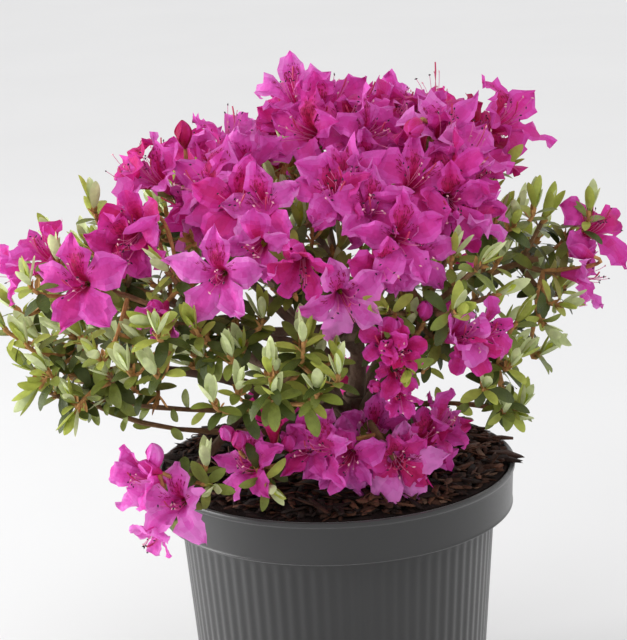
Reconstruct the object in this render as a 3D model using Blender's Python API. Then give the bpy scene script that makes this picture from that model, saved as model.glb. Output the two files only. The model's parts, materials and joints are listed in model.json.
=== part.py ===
"""A potted evergreen azalea, a small rhododendron in full flower.

Metres, +Z up. The origin is the centre of the pot's flat underside, and -Y is the front.
A short trunk stands on bark mulch and forks into boughs. Each bough ends where it enters
a mass of twigs, leaves and blossom, and each mass keeps to its own space in the crown.
"""

import math
import random
from typing import NamedTuple

import bmesh
import bpy
import numpy as np
from mathutils import Matrix, Vector

# The air between two neighbouring pieces
GAP = 0.0003

# Pot: a tapered wall that steps out under a plain band
POT_HEIGHT = 0.150
RIM_RADIUS = 0.0950
BAND_HEIGHT = 0.0233
BAND_FOOT_RADIUS = 0.0932
WALL_TOP_RADIUS = 0.0838
BASE_RADIUS = 0.0740
WALL = 0.0015
LIP = 0.0010
LIP_HEIGHT = 0.003
FOOT_CHAMFER = 0.002
POT_SIDES = 36
DRAIN_HOLES = 4
DRAIN_RADIUS = 0.005
DRAIN_CIRCLE = 0.052
DRILL_SIDES = 10

# Compost and bark mulch, heaped round a flat seat for the trunk
MULCH_FOOT = POT_HEIGHT - BAND_HEIGHT
MULCH_EDGE = 0.1495
MULCH_SEAT = 0.1540
MULCH_LUMP = 0.0028
MULCH_FALL = 1.6
MULCH_SIDES = 32
MULCH_RINGS = 6
MULCH_SEED = 4
SEAT_RADIUS = 0.0225

# Trunk, from its flat cut on the mulch to its fork
TRUNK_FOOT = Vector((0.006, 0.002, MULCH_SEAT + GAP))
TRUNK_FORK = Vector((0.012, -0.001, 0.187))
TRUNK_FOOT_RADIUS = 0.0098
TRUNK_TIP_RADIUS = 0.0066
TRUNK_BOW = 0.002
TRUNK_STEPS = 7
TRUNK_SIDES = 15
ROOT_FLARE = 0.0046
FLARE_LOBES = 5
LOBE_DEPTH = 0.4
FLARE_FALL = 7

# Boughs, each tapering to the stem of its mass; the leader goes on up from the trunk
LEADER_RADIUS = 0.0050
BOUGH_RADIUS = 0.0037
SIDE_BOUGH_RADIUS = 0.0028
BOUGH_SIDES = 6
BOUGH_STEPS = 4
BOUGH_END = 0.62
BOUGH_BEND = 0.45
BOUGH_RISE = 0.14
SIDE_BOUGH_RISE = -0.06

# The middle of the crown, which its blossom and shoots grow away from
HEART = Vector((-0.008, 0.0, 0.215))
GOLDEN_ANGLE = math.pi * (3 - math.sqrt(5))
SPACE_REACH = 1.35
SPACE_MARGIN = 0.0004
LIMB_MARGIN = 0.0008
POT_MARGIN = 0.0015

# Blossom and leaves
PETALS = 5
BLOOM_RADIUS = 0.0262
BLOOM_DEPTH = 0.024
THROAT_DEPTH = 0.017
NOTCH_SHARE = 0.60
NOTCH_DIP = 0.004
PETAL_SHARES = (1.0, 0.9, 0.8, 0.7, 0.6, 0.5, 0.4, 0.3)
LEAF_LENGTH = 0.028
LEAF_WIDTH = 0.012
LEAF_THICKNESS = 0.0016
LEAF_WIDEST = 0.55
LEAF_DROOP = 0.06
LEAF_SHARES = (1.0, 0.85, 0.7)
LEAF_STEP = 0.0030
ROOT_SUNK = 0.0002
ROSETTE_LEAVES = 5
ROSETTE_LEAN = math.radians(35)
ROSETTE_OPENING = math.radians(11)
BLOOM_LEAF_SHARE = 0.5
BLOOM_LEAF_LEAN = math.radians(65)

# Stems and twigs
STEM_RADIUS = 0.0021
STEM_SIDES = 5
STEM_STEPS = 4
STEM_PAST_MIDDLE = 0.12
TWIG_RADIUS = 0.0015
TWIG_TIP_RADIUS = 0.0013
TWIG_SIDES = 3
TWIG_STEPS = 2
TWIG_BEND = 0.014
TWIG_BEND_SHARE = 0.5
TWIG_SUNK = 0.003

# Tips: how many are tried over the cap of a mass, how far out, how far apart, and how
# far each turns from the crown's middle towards its own mass's outer side and upwards
TIP_TRIES = 44
TIP_CAP = math.radians(112)
TIP_REACH = (0.50, 0.68)
BLOOM_ROOM = 0.010
BLOOM_SPACING = 0.027
ROSETTE_ROOM = 0.005
ROSETTE_SPACING = 0.031
BLOOM_TURN = (1.2, 0.3)
ROSETTE_TURN = (0.3, 1.3)


class Mass(NamedTuple):
    """One mass of twigs, leaves and blossom in the crown."""

    name: str
    centre: Vector
    radius: float
    bloom: float
    parent: str
    fork: float


class Tier(NamedTuple):
    """A ring of like masses: how many, where the first lies, and how far they reach."""

    count: int
    first_azimuth: float
    height: float
    middle_x: float
    reach_x: float
    reach_y: float
    radius: float
    bloom: float
    parent: str
    forks: tuple[float, float]


# A tier's forks: how far along the parent its boughs leave, by turns higher and lower
TIERS = {
    "top": Tier(1, 0, 0.313, -0.008, 0.0, 0.0, 0.052, 1.0, "trunk", (1.0, 1.0)),
    "upper": Tier(4, -100, 0.290, -0.006, 0.073, 0.072, 0.056, 1.0, "top", (0.24, 0.10)),
    "middle": Tier(6, -120, 0.254, -0.008, 0.111, 0.102, 0.056, 0.9, "upper", (0.42, 0.28)),
    "skirt": Tier(6, -90, 0.217, -0.028, 0.106, 0.100, 0.050, 0.0, "trunk", (0.55, 0.32)),
}
# The masses that bear less blossom than their tier, and the share that still looks like blossom
LEAFY = {"middle_3": 0.2, "middle_6": 0.6, "upper_2": 0.9}
BLOSSOMING = 0.3

# Single sprays: centre, radius, share of blossom, the bough that each leaves, and how far out
SPRAYS = {
    "spray_low_left": ((-0.085, -0.104, 0.169), 0.034, 0.9, "skirt_6", 0.50),
    "spray_low_front": ((-0.040, -0.074, 0.180), 0.030, 0.7, "skirt_1", 0.30),
    "spray_low_right": ((0.027, -0.068, 0.176), 0.036, 1.0, "skirt_2", 0.25),
    "spray_low_back": ((-0.020, 0.098, 0.172), 0.034, 0.7, "skirt_4", 0.30),
}

# The blossoms that stand out at the front: the middle of each mouth, and where it faces
SHOW_BLOOMS = {
    "star": ((-0.054, -0.125, 0.284), (-100, 8)),
    "left_star": ((-0.123, -0.085, 0.275), (-118, 5)),
    "left_top": ((-0.088, -0.050, 0.324), (-130, 45)),
    "top_left": ((-0.018, -0.015, 0.354), (-110, 60)),
    "top_right": ((0.008, -0.004, 0.350), (-50, 55)),
    "upper_right": ((0.099, 0.000, 0.334), (-35, 35)),
    "upper_middle": ((0.009, -0.095, 0.322), (-85, 30)),
    "upper_inner": ((0.045, -0.085, 0.320), (-70, 30)),
    "middle_left": ((-0.018, -0.125, 0.297), (-95, 18)),
    "middle_right": ((0.036, -0.115, 0.297), (-75, 12)),
    "middle_low": ((0.006, -0.125, 0.268), (-85, -5)),
    "far_right": ((0.142, -0.008, 0.276), (-50, 30)),
    "far_right_low": ((0.141, -0.022, 0.250), (-30, 0)),
    "bud_right": ((0.063, -0.110, 0.247), (-60, 10)),
    "low_left": ((-0.085, -0.119, 0.168), (-112, 22)),
    "low_pale": ((-0.048, -0.088, 0.182), (-120, 30)),
    "low_middle": ((0.002, -0.078, 0.176), (-95, 10)),
    "low_right": ((0.034, -0.078, 0.172), (-80, 15)),
    "low_far": ((0.056, -0.045, 0.179), (-50, 25)),
}


def remove_everything():
    for item in list(bpy.data.objects):
        bpy.data.objects.remove(item, do_unlink=True)


def make_material(name, colour, roughness):
    material = bpy.data.materials.new(name)
    material.use_nodes = True
    shader = material.node_tree.nodes["Principled BSDF"]
    shader.inputs["Base Color"].default_value = (*colour, 1.0)
    shader.inputs["Roughness"].default_value = roughness
    shader.inputs["Metallic"].default_value = 0.0
    material.diffuse_color = (*colour, 1.0)
    return material


def add_object(name, shape, material, smooth=False):
    """An object from (points, faces), with its faces turned outwards."""
    points, faces = shape
    mesh = bpy.data.meshes.new(name)
    mesh.from_pydata([tuple(point) for point in points], [], faces)
    shell = bmesh.new()
    shell.from_mesh(mesh)
    bmesh.ops.recalc_face_normals(shell, faces=shell.faces)
    shell.to_mesh(mesh)
    shell.free()
    mesh.materials.append(material)
    if smooth:
        mesh.shade_smooth()
        mesh.set_sharp_from_angle(angle=math.radians(35))
    item = bpy.data.objects.new(name, mesh)
    bpy.context.collection.objects.link(item)
    return item


def apply_boolean(item, operation, cutters):
    """One Boolean of the item with all the cutters, which are removed afterwards."""
    group = bpy.data.collections.new(item.name + "_operands")
    bpy.context.scene.collection.children.link(group)
    for cutter in cutters:
        bpy.context.collection.objects.unlink(cutter)
        group.objects.link(cutter)
    modifier = item.modifiers.new("join", "BOOLEAN")
    modifier.operation = operation
    modifier.operand_type = "COLLECTION"
    modifier.collection = group
    modifier.solver = "EXACT"
    bpy.context.view_layer.objects.active = item
    bpy.ops.object.modifier_apply(modifier=modifier.name)
    for cutter in list(group.objects):
        bpy.data.objects.remove(cutter, do_unlink=True)
    bpy.data.collections.remove(group)


def drop_scraps(item):
    """Keep only the largest body of the mesh."""
    shell = bmesh.new()
    shell.from_mesh(item.data)
    waiting = set(shell.verts)
    bodies = []
    while waiting:
        body = [waiting.pop()]
        for point in body:
            joined = {link.other_vert(point) for link in point.link_edges} & waiting
            waiting -= joined
            body += joined
        bodies.append(body)
    bodies.sort(key=len)
    for body in bodies[:-1]:
        bmesh.ops.delete(shell, geom=body, context="VERTS")
    shell.to_mesh(item.data)
    shell.free()


def ring_faces(rings, sides):
    """Faces between rings of points, with one cap at each end."""
    faces = []
    for ring in range(rings - 1):
        for side in range(sides):
            after = (side + 1) % sides
            lower = ring * sides
            upper = lower + sides
            faces.append((lower + side, lower + after, upper + after, upper + side))
    faces.append(tuple(reversed(range(sides))))
    faces.append(tuple(range((rings - 1) * sides, rings * sides)))
    return faces


def turned(profile, sides):
    """A solid turned round Z from (radius, height) pairs, capped at both ends."""
    points = []
    for radius, height in profile:
        for side in range(sides):
            turn = 2 * math.pi * side / sides
            points.append((radius * math.cos(turn), radius * math.sin(turn), height))
    return points, ring_faces(len(profile), sides)


def tube(path, radii, sides, flare=None):
    """A closed tube along a path, its end caps square to the path's ends."""
    points = []
    count = len(path)
    across = None
    for index, centre in enumerate(path):
        before = path[max(index - 1, 0)]
        after = path[min(index + 1, count - 1)]
        along = (after - before).normalized()
        if across is None:
            across = along.orthogonal().normalized()
        else:
            across = (across - along * across.dot(along)).normalized()
        other = along.cross(across)
        for side in range(sides):
            turn = 2 * math.pi * side / sides
            radius = radii[index]
            if flare is not None:
                radius += flare(index / (count - 1), turn)
            points.append(centre + (across * math.cos(turn) + other * math.sin(turn)) * radius)
    return points, ring_faces(count, sides)


def taper(first, last, count):
    return [first + (last - first) * index / (count - 1) for index in range(count)]


def curve(start, bend, end, steps):
    """Points along the quadratic curve that is pulled towards its bend."""
    path = []
    for step in range(steps + 1):
        part = step / steps
        path.append(
            start * (1 - part) ** 2 + bend * (2 * part * (1 - part)) + end * part**2
        )
    return path


def set_off(path, along):
    """The same path with its first stretch turned into this line, for a square end."""
    path[1] = path[0] + along * (path[1] - path[0]).length
    return path


def make_pot():
    """The shell is turned down its outside and back up its inside, then drilled."""
    black = make_material("pot_plastic", (0.055, 0.056, 0.058), 0.55)
    step = POT_HEIGHT - BAND_HEIGHT
    outside = [
        (BASE_RADIUS - FOOT_CHAMFER, 0.0),
        (BASE_RADIUS, FOOT_CHAMFER),
        (WALL_TOP_RADIUS, step),
        (BAND_FOOT_RADIUS, step),
        (RIM_RADIUS - LIP, POT_HEIGHT - LIP_HEIGHT),
        (RIM_RADIUS, POT_HEIGHT - LIP_HEIGHT + LIP),
        (RIM_RADIUS, POT_HEIGHT),
    ]
    inside = [
        (RIM_RADIUS - WALL - LIP, POT_HEIGHT),
        (BAND_FOOT_RADIUS - WALL, step + WALL),
        (WALL_TOP_RADIUS - WALL, step + WALL),
        (BASE_RADIUS - WALL, WALL),
    ]
    pot = add_object("pot", turned(outside + inside, POT_SIDES), black, smooth=True)
    drills = []
    for hole in range(DRAIN_HOLES):
        turn = 2 * math.pi * hole / DRAIN_HOLES
        place = Vector((DRAIN_CIRCLE * math.cos(turn), DRAIN_CIRCLE * math.sin(turn), 0.0))
        bit = turned([(DRAIN_RADIUS, -WALL), (DRAIN_RADIUS, 2 * WALL)], DRILL_SIDES)
        drill = add_object("drill", bit, black)
        drill.data.transform(Matrix.Translation(place))
        drills.append(drill)
    apply_boolean(pot, "DIFFERENCE", drills)


def make_root_ball():
    """Compost that fills the pot up to the step under its band."""
    compost = make_material("compost", (0.035, 0.022, 0.015), 0.95)
    top = MULCH_FOOT - GAP
    profile = [
        (BASE_RADIUS - WALL - 2 * GAP, WALL + GAP),
        (WALL_TOP_RADIUS - WALL - 2 * GAP, top),
    ]
    add_object("root_ball", turned(profile, POT_SIDES), compost, smooth=True)


def mulch_height(radius):
    """Height of the heap: level on its seat, then falling away to the band."""
    edge = RIM_RADIUS - WALL - LIP
    if radius <= SEAT_RADIUS:
        return MULCH_SEAT
    part = (radius - SEAT_RADIUS) / (edge - SEAT_RADIUS)
    return MULCH_SEAT + (MULCH_EDGE - MULCH_SEAT) * part**MULCH_FALL


def make_mulch():
    """Bark chips as one lumpy heap, flat where the trunk stands."""
    bark = make_material("bark_mulch", (0.045, 0.026, 0.018), 0.95)
    chance = random.Random(MULCH_SEED)
    foot = WALL_TOP_RADIUS - WALL - 3 * GAP
    edge = BAND_FOOT_RADIUS - WALL - 2 * GAP
    ledge = MULCH_FOOT + WALL + GAP
    wall = [(foot, MULCH_FOOT), (foot, ledge), (edge, ledge), (edge, MULCH_EDGE - MULCH_LUMP - GAP)]
    points, _ = turned(wall, MULCH_SIDES)
    for ring in range(MULCH_RINGS):
        part = (ring + 0.2) / (MULCH_RINGS - 0.8)
        radius = edge + (SEAT_RADIUS - edge) * part
        is_seat = ring == MULCH_RINGS - 1
        lump = 0.0 if is_seat else MULCH_LUMP
        for side in range(MULCH_SIDES):
            turn = 2 * math.pi * side / MULCH_SIDES
            height = mulch_height(radius) + chance.uniform(-lump, lump)
            points.append((radius * math.cos(turn), radius * math.sin(turn), height))
    add_object("bark_mulch", (points, ring_faces(len(wall) + MULCH_RINGS, MULCH_SIDES)), bark)


def trunk_limb():
    """The trunk's path and its taper, without the flare of its roots."""
    bend = TRUNK_FOOT.lerp(TRUNK_FORK, 0.5) + Vector((TRUNK_BOW, 0.0, 0.0))
    path = curve(TRUNK_FOOT, bend, TRUNK_FORK, TRUNK_STEPS)
    path[1].xy = path[0].xy
    return path, taper(TRUNK_FOOT_RADIUS, TRUNK_TIP_RADIUS, len(path))


def trunk_shape(limb, spare):
    """The trunk with its lobed root flare, and with some spare room round it."""
    path, radii = limb

    def flare(part, turn):
        lobes = 1 - LOBE_DEPTH + LOBE_DEPTH * math.cos(FLARE_LOBES * turn)
        return spare + ROOT_FLARE * math.exp(-FLARE_FALL * part) * lobes

    return tube(path, radii, TRUNK_SIDES, flare)


def crown_masses():
    """Every mass by name: the rings of the tiers first, then the single sprays."""
    masses = []
    for tier_name, tier in TIERS.items():
        for index in range(tier.count):
            name = f"{tier_name}_{index + 1}"
            turn = math.radians(tier.first_azimuth) + 2 * math.pi * index / tier.count
            centre = Vector(
                (
                    tier.middle_x + tier.reach_x * math.cos(turn),
                    tier.reach_y * math.sin(turn),
                    tier.height,
                )
            )
            parent = tier.parent
            if parent in TIERS:
                parent = nearest_in_tier(centre, masses, parent)
            bloom = LEAFY.get(name, tier.bloom)
            masses.append(Mass(name, centre, tier.radius, bloom, parent, tier.forks[index % 2]))
    for name, (centre, radius, bloom, parent, fork) in SPRAYS.items():
        masses.append(Mass(name, Vector(centre), radius, bloom, parent, fork))
    return masses


def nearest_in_tier(centre, masses, tier_name):
    ring = [mass for mass in masses if mass.name.startswith(tier_name)]
    return min(ring, key=lambda mass: (mass.centre - centre).length).name


def bough_path(mass, limbs):
    """From its parent's axis, up and outwards, to where it enters its mass."""
    parent_path, _ = limbs[mass.parent]
    place = mass.fork * (len(parent_path) - 1)
    before = min(int(place), len(parent_path) - 2)
    start = parent_path[before].lerp(parent_path[before + 1], place - before)
    if mass.fork == 1.0:
        along = (parent_path[-1] - parent_path[-2]).normalized()
        start = parent_path[-1] + along * GAP
    inward = (HEART - mass.centre).normalized()
    end = mass.centre + inward * mass.radius * BOUGH_END
    length = (end - start).length
    rise = BOUGH_RISE if mass.parent == "trunk" else SIDE_BOUGH_RISE
    bend = start.lerp(end, BOUGH_BEND) + Vector((0.0, 0.0, rise * length))
    if mass.fork == 1.0:
        return set_off(curve(start, start + along * length / 2, end, BOUGH_STEPS), along)
    return curve(start, bend, end, BOUGH_STEPS)


def make_bough(mass, limbs, wood):
    """One tapering limb, its root trimmed to the limb that it leaves."""
    path = bough_path(mass, limbs)
    foot_radius = BOUGH_RADIUS if mass.parent == "trunk" else SIDE_BOUGH_RADIUS
    if mass.fork == 1.0:
        foot_radius = LEADER_RADIUS
    radii = taper(foot_radius, STEM_RADIUS, len(path))
    bough = add_object("bough_" + mass.name, tube(path, radii, BOUGH_SIDES), wood, smooth=True)
    if mass.fork < 1.0:
        if mass.parent == "trunk":
            fatter = trunk_shape(limbs["trunk"], GAP)
        else:
            parent_path, parent_radii = limbs[mass.parent]
            fatter = tube(parent_path, [radius + GAP for radius in parent_radii], BOUGH_SIDES)
        apply_boolean(bough, "DIFFERENCE", [add_object("trimmer", fatter, wood)])
        drop_scraps(bough)
    limbs[mass.name] = (path, radii)


class Space:
    """The room that one mass keeps to, and the limbs and pot that it stays clear of."""

    def __init__(self, mass, masses, limbs):
        others = [other for other in masses if other.name != mass.name]
        self.centre = np.array(mass.centre)
        self.radius = mass.radius
        self.other_centres = np.array([other.centre for other in others])
        self.other_radii = np.array([other.radius for other in others])
        starts = []
        ends = []
        thickness = []
        for path, radii in limbs.values():
            for index in range(len(path) - 1):
                starts.append(path[index])
                ends.append(path[index + 1])
                thickness.append(radii[index])
        self.limb_starts = np.array(starts)
        self.limb_runs = np.array(ends) - self.limb_starts
        self.limb_radii = np.array(thickness)

    def holds(self, points, margin=SPACE_MARGIN):
        """True when every point is on this mass's side of each border with its neighbours."""
        spots = np.array([tuple(point) for point in points])
        own = ((spots - self.centre) ** 2).sum(axis=1) - self.radius**2
        if np.any(own > (SPACE_REACH**2 - 1) * self.radius**2):
            return False
        away = self.other_centres - self.centre
        apart = np.sqrt((away**2).sum(axis=1))
        offsets = spots[:, None, :] - self.other_centres[None, :, :]
        theirs = (offsets**2).sum(axis=2) - self.other_radii**2
        border = (theirs - own[:, None]) / (2 * apart)
        return bool(border.min() > margin)

    def clear(self, points, margin=LIMB_MARGIN):
        """True when no point comes near a limb, the pot or the mulch."""
        spots = np.array([tuple(point) for point in points])
        offsets = spots[:, None, :] - self.limb_starts[None, :, :]
        lengths = (self.limb_runs**2).sum(axis=1)
        along = np.clip((offsets * self.limb_runs).sum(axis=2) / lengths, 0, 1)
        nearest = offsets - along[:, :, None] * self.limb_runs
        distance = np.sqrt((nearest**2).sum(axis=2)) - self.limb_radii
        if distance.min() < margin:
            return False
        radius = np.hypot(spots[:, 0], spots[:, 1])
        floor = MULCH_SEAT + MULCH_LUMP + POT_MARGIN
        over_pot = radius < RIM_RADIUS + POT_MARGIN
        return not bool(np.any(over_pot & (spots[:, 2] < floor)))


def facing(azimuth, elevation):
    turn = math.radians(azimuth)
    rise = math.radians(elevation)
    return Vector((math.cos(turn) * math.cos(rise), math.sin(turn) * math.cos(rise), math.sin(rise)))


def between(start, end, steps=4):
    return [start.lerp(end, (step + 1) / steps) for step in range(steps)]


def fan_pair(top, below, rim):
    """A closed shell from a rim of points to one point on each side of it."""
    faces = []
    for index in range(len(rim)):
        after = (index + 1) % len(rim)
        faces.append((0, 2 + index, 2 + after))
        faces.append((1, 2 + after, 2 + index))
    return [top, below] + rim, faces


def bloom_shape(foot, axis, roll, space):
    """A five-petalled funnel: tips and notches round a dipped throat, closed underneath.

    Each petal is as long as its space lets it be, and a bloom with no room is left out.
    """
    side = axis.orthogonal().normalized()
    other = axis.cross(side)
    throat = foot + axis * (BLOOM_DEPTH - THROAT_DEPTH)
    mouth = foot + axis * BLOOM_DEPTH
    if not space.holds([foot, throat]):
        return None
    rim = []
    for index in range(2 * PETALS):
        turn = roll + math.pi * index / PETALS
        outwards = side * math.cos(turn) + other * math.sin(turn)
        is_notch = index % 2 == 1
        reach = BLOOM_RADIUS * (NOTCH_SHARE if is_notch else 1.0)
        whole = mouth + outwards * reach - axis * (NOTCH_DIP if is_notch else 0.0)
        for share in PETAL_SHARES:
            point = throat.lerp(whole, share)
            spokes = between(foot, point) + between(throat, point)
            if space.holds([point]) and space.clear(spokes):
                break
        else:
            return None
        rim.append(point)
    return fan_pair(throat, foot, rim)


def leaf_shape(root, direction, up, space):
    """Eight faces: from a root and a tip to two sides, a ridge and the underside."""
    across = direction.cross(up).normalized()
    normal = across.cross(direction)
    for share in LEAF_SHARES:
        length = LEAF_LENGTH * share
        middle = root + direction * length * LEAF_WIDEST
        tip = root + direction * length - normal * length * LEAF_DROOP
        left = middle + across * LEAF_WIDTH * share / 2
        right = middle - across * LEAF_WIDTH * share / 2
        near_edges = between(root, left, 3) + between(root, right, 3)
        far_edges = between(left, tip, 3) + between(right, tip, 3)
        if space.holds([root, tip, left, right]) and space.clear(near_edges + far_edges):
            ridge = middle + normal * LEAF_THICKNESS / 2
            under = middle - normal * LEAF_THICKNESS / 2
            return fan_pair(root - direction * ROOT_SUNK, tip, [left, ridge, right, under])
    return None


def rule_tips(mass, space, taken, chance):
    """Tips by the golden angle over the outer side of the mass, kept apart from each other."""
    outward = (mass.centre - HEART).normalized()
    side = outward.orthogonal().normalized()
    other = outward.cross(side)
    tips = []
    for index in range(TIP_TRIES):
        polar = TIP_CAP * math.sqrt((index + 0.5) / TIP_TRIES)
        turn = index * GOLDEN_ANGLE
        round_axis = side * math.cos(turn) + other * math.sin(turn)
        direction = outward * math.cos(polar) + round_axis * math.sin(polar)
        is_bloom = chance.random() < mass.bloom
        spot = mass.centre + direction * mass.radius * chance.uniform(*TIP_REACH)
        away = (spot - HEART).normalized()
        outer, rise = BLOOM_TURN if is_bloom else ROSETTE_TURN
        axis = (away + direction * outer + Vector((0.0, 0.0, rise))).normalized()
        room, spacing = (BLOOM_ROOM, BLOOM_SPACING) if is_bloom else (ROSETTE_ROOM, ROSETTE_SPACING)
        roomy = space.holds([spot], room) and space.clear([spot], ROSETTE_ROOM)
        if roomy and all((spot - tip).length > spacing for tip in taken):
            taken.append(spot)
            tips.append((spot, axis, is_bloom))
    return tips


def show_tips(mass, masses):
    """The named blooms whose tube starts in this mass's space."""
    tips = []
    for mouth, (azimuth, elevation) in SHOW_BLOOMS.values():
        axis = facing(azimuth, elevation)
        foot = Vector(mouth) - axis * BLOOM_DEPTH
        owner = min(masses, key=lambda other: (other.centre - foot).length_squared - other.radius**2)
        if owner.name == mass.name:
            tips.append((foot, axis, True))
    return tips


def twig_path(stem, tip, axis):
    """From the stem, out and round into the line of its bloom or rosette."""
    behind = tip - axis * TWIG_BEND
    start = min(stem[2:-1], key=lambda point: (point - behind).length)
    ready = tip - axis * min(TWIG_BEND, TWIG_BEND_SHARE * (tip - start).length)
    return curve(start, ready, tip, TWIG_STEPS)[:-1] + [tip + axis * TWIG_SUNK]


def back_along(path, distance):
    """The point on a path that lies this far back from its end."""
    for index in range(len(path) - 1, 0, -1):
        length = (path[index] - path[index - 1]).length
        if distance <= length:
            return path[index].lerp(path[index - 1], distance / length)
        distance -= length
    return path[0]


def grow_leaves(twig, axis, roll, is_bloom, count, space):
    """A rosette that opens downwards, or the single leaf under a bloom."""
    side = axis.orthogonal().normalized()
    other = axis.cross(side)
    leaves = []
    for index in range(count):
        lean = BLOOM_LEAF_LEAN if is_bloom else ROSETTE_LEAN + ROSETTE_OPENING * index
        back = TWIG_SUNK + LEAF_STEP * (index + (2 if is_bloom else 0.4))
        turn = roll + index * GOLDEN_ANGLE
        sideways = side * math.cos(turn) + other * math.sin(turn)
        direction = axis * math.cos(lean) + sideways * math.sin(lean)
        leaf = leaf_shape(back_along(twig, back), direction, axis, space)
        if leaf is not None:
            leaves.append(leaf)
    return leaves


def mass_stem(mass, limbs):
    """From the bough's tip, in its line, to just past the middle of the mass."""
    path, _ = limbs[mass.name]
    along = (path[-1] - path[-2]).normalized()
    foot = path[-1] + along * GAP
    end = mass.centre + (mass.centre - HEART).normalized() * mass.radius * STEM_PAST_MIDDLE
    return set_off(curve(foot, foot + along * (end - foot).length / 2, end, STEM_STEPS), along)


def make_mass(mass, masses, limbs, colour):
    """Stem, twigs, blooms and leaves of one mass, joined into one body."""
    space = Space(mass, masses, limbs)
    chance = random.Random(mass.name)
    stem = mass_stem(mass, limbs)
    thickness = taper(STEM_RADIUS, TWIG_RADIUS, len(stem))
    base = add_object(mass.name, tube(stem, thickness, STEM_SIDES), colour)
    pieces = []
    tips = show_tips(mass, masses)
    taken = [tip for tip, _, _ in tips]
    tips += rule_tips(mass, space, taken, chance)
    for tip, axis, is_bloom in tips:
        twig = twig_path(stem, tip, axis)
        roll = chance.uniform(0, 2 * math.pi)
        outer = between(twig[0], twig[1])[2:] + between(twig[1], twig[2])
        if not (space.holds(outer, TWIG_RADIUS) and space.clear(outer, TWIG_RADIUS + LIMB_MARGIN)):
            continue
        count = ROSETTE_LEAVES
        if is_bloom:
            count = int(chance.random() < BLOOM_LEAF_SHARE)
            bloom = bloom_shape(tip, axis, roll, space)
            if bloom is None:
                continue
            pieces.append(bloom)
        pieces.append(tube(twig, taper(TWIG_RADIUS, TWIG_TIP_RADIUS, len(twig)), TWIG_SIDES))
        pieces += grow_leaves(twig, axis, roll, is_bloom, count, space)
    apply_boolean(base, "UNION", [add_object("piece", piece, colour) for piece in pieces])
    drop_scraps(base)


def main():
    remove_everything()
    make_pot()
    make_root_ball()
    make_mulch()
    wood = make_material("azalea_wood", (0.16, 0.10, 0.065), 0.85)
    blossom = make_material("blossom_and_leaves", (0.45, 0.03, 0.33), 0.5)
    foliage = make_material("leaves", (0.09, 0.14, 0.05), 0.5)
    masses = crown_masses()
    limbs = {"trunk": trunk_limb()}
    add_object("trunk", trunk_shape(limbs["trunk"], 0.0), wood, smooth=True)
    for mass in masses:
        make_bough(mass, limbs, wood)
    for mass in masses:
        make_mass(mass, masses, limbs, blossom if mass.bloom > BLOSSOMING else foliage)


main()
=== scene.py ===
"""A potted evergreen azalea in full flower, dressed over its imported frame.

Metres, +Z up, -Y towards the front. The script follows the plant as it is put together: the
pot, its compost and bark mulch, the trunk and boughs, the twigs, the leaves, the blossom,
and last the studio round it.
"""

import json
import math
import random
from typing import NamedTuple

import bmesh
import bpy
import numpy as np
from mathutils import Matrix, Vector

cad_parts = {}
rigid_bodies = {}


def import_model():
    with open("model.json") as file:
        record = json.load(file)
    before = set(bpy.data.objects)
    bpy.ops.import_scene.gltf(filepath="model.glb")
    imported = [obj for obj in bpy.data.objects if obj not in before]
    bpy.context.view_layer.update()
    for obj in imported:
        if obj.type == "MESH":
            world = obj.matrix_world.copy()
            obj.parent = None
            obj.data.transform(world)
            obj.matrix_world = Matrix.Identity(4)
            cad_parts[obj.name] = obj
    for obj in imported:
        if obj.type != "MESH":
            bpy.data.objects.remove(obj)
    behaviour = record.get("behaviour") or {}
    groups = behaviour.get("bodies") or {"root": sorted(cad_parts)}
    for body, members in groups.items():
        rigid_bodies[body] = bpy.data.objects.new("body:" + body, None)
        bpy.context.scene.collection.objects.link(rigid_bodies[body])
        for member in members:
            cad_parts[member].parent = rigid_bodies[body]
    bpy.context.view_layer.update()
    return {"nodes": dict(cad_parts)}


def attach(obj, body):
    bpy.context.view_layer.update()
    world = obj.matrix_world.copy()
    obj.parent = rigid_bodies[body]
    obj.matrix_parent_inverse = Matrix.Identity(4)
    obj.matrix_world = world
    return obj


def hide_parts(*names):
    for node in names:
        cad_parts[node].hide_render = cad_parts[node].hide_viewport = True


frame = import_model()

# The pot: a round container moulded in dark grey plastic, with fine flutes down its wall.
# The wall steps in under a plain band, whose rim is rolled outwards, and its floor has
# four drain holes.
POT_HEIGHT = 0.150
RIM_RADIUS = 0.0950
BAND_HEIGHT = 0.0233
BAND_FOOT_RADIUS = 0.0932
WALL_TOP_RADIUS = 0.0838
BASE_RADIUS = 0.0740
WALL = 0.0015
BEAD = 0.0009
BEAD_HEIGHT = 2.2 * BEAD
FLUTES = 80
FLUTE_DEPTH = 0.00045
FLUTE_COLUMNS = 8
FLUTE_FADE = 0.006
FLUTE_FOOT = 0.003
FLUTE_STOP = 0.002
FLOOR_RING = 0.012
FOOT_EDGE = 0.002
WALL_RISES = (0.005, 0.009, 0.013)
WALL_DROPS = (0.009, 0.005, 0.002, 0.0)
# The rim from below, as beads in from its radius and metres down from the top.
RIM_CORNERS = ((1.2, 0.0040), (1, 0.0030), (0, 0.0022), (0, 0.0))
EASE_REACH = 0.0007
OUTSIDE_SHARE = 0.7
DRAIN_HOLES = 4
DRAIN_RADIUS = 0.005
DRAIN_CIRCLE = 0.052
DRAIN_SIDES = 24
SHARP_ANGLE = math.radians(50)


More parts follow.
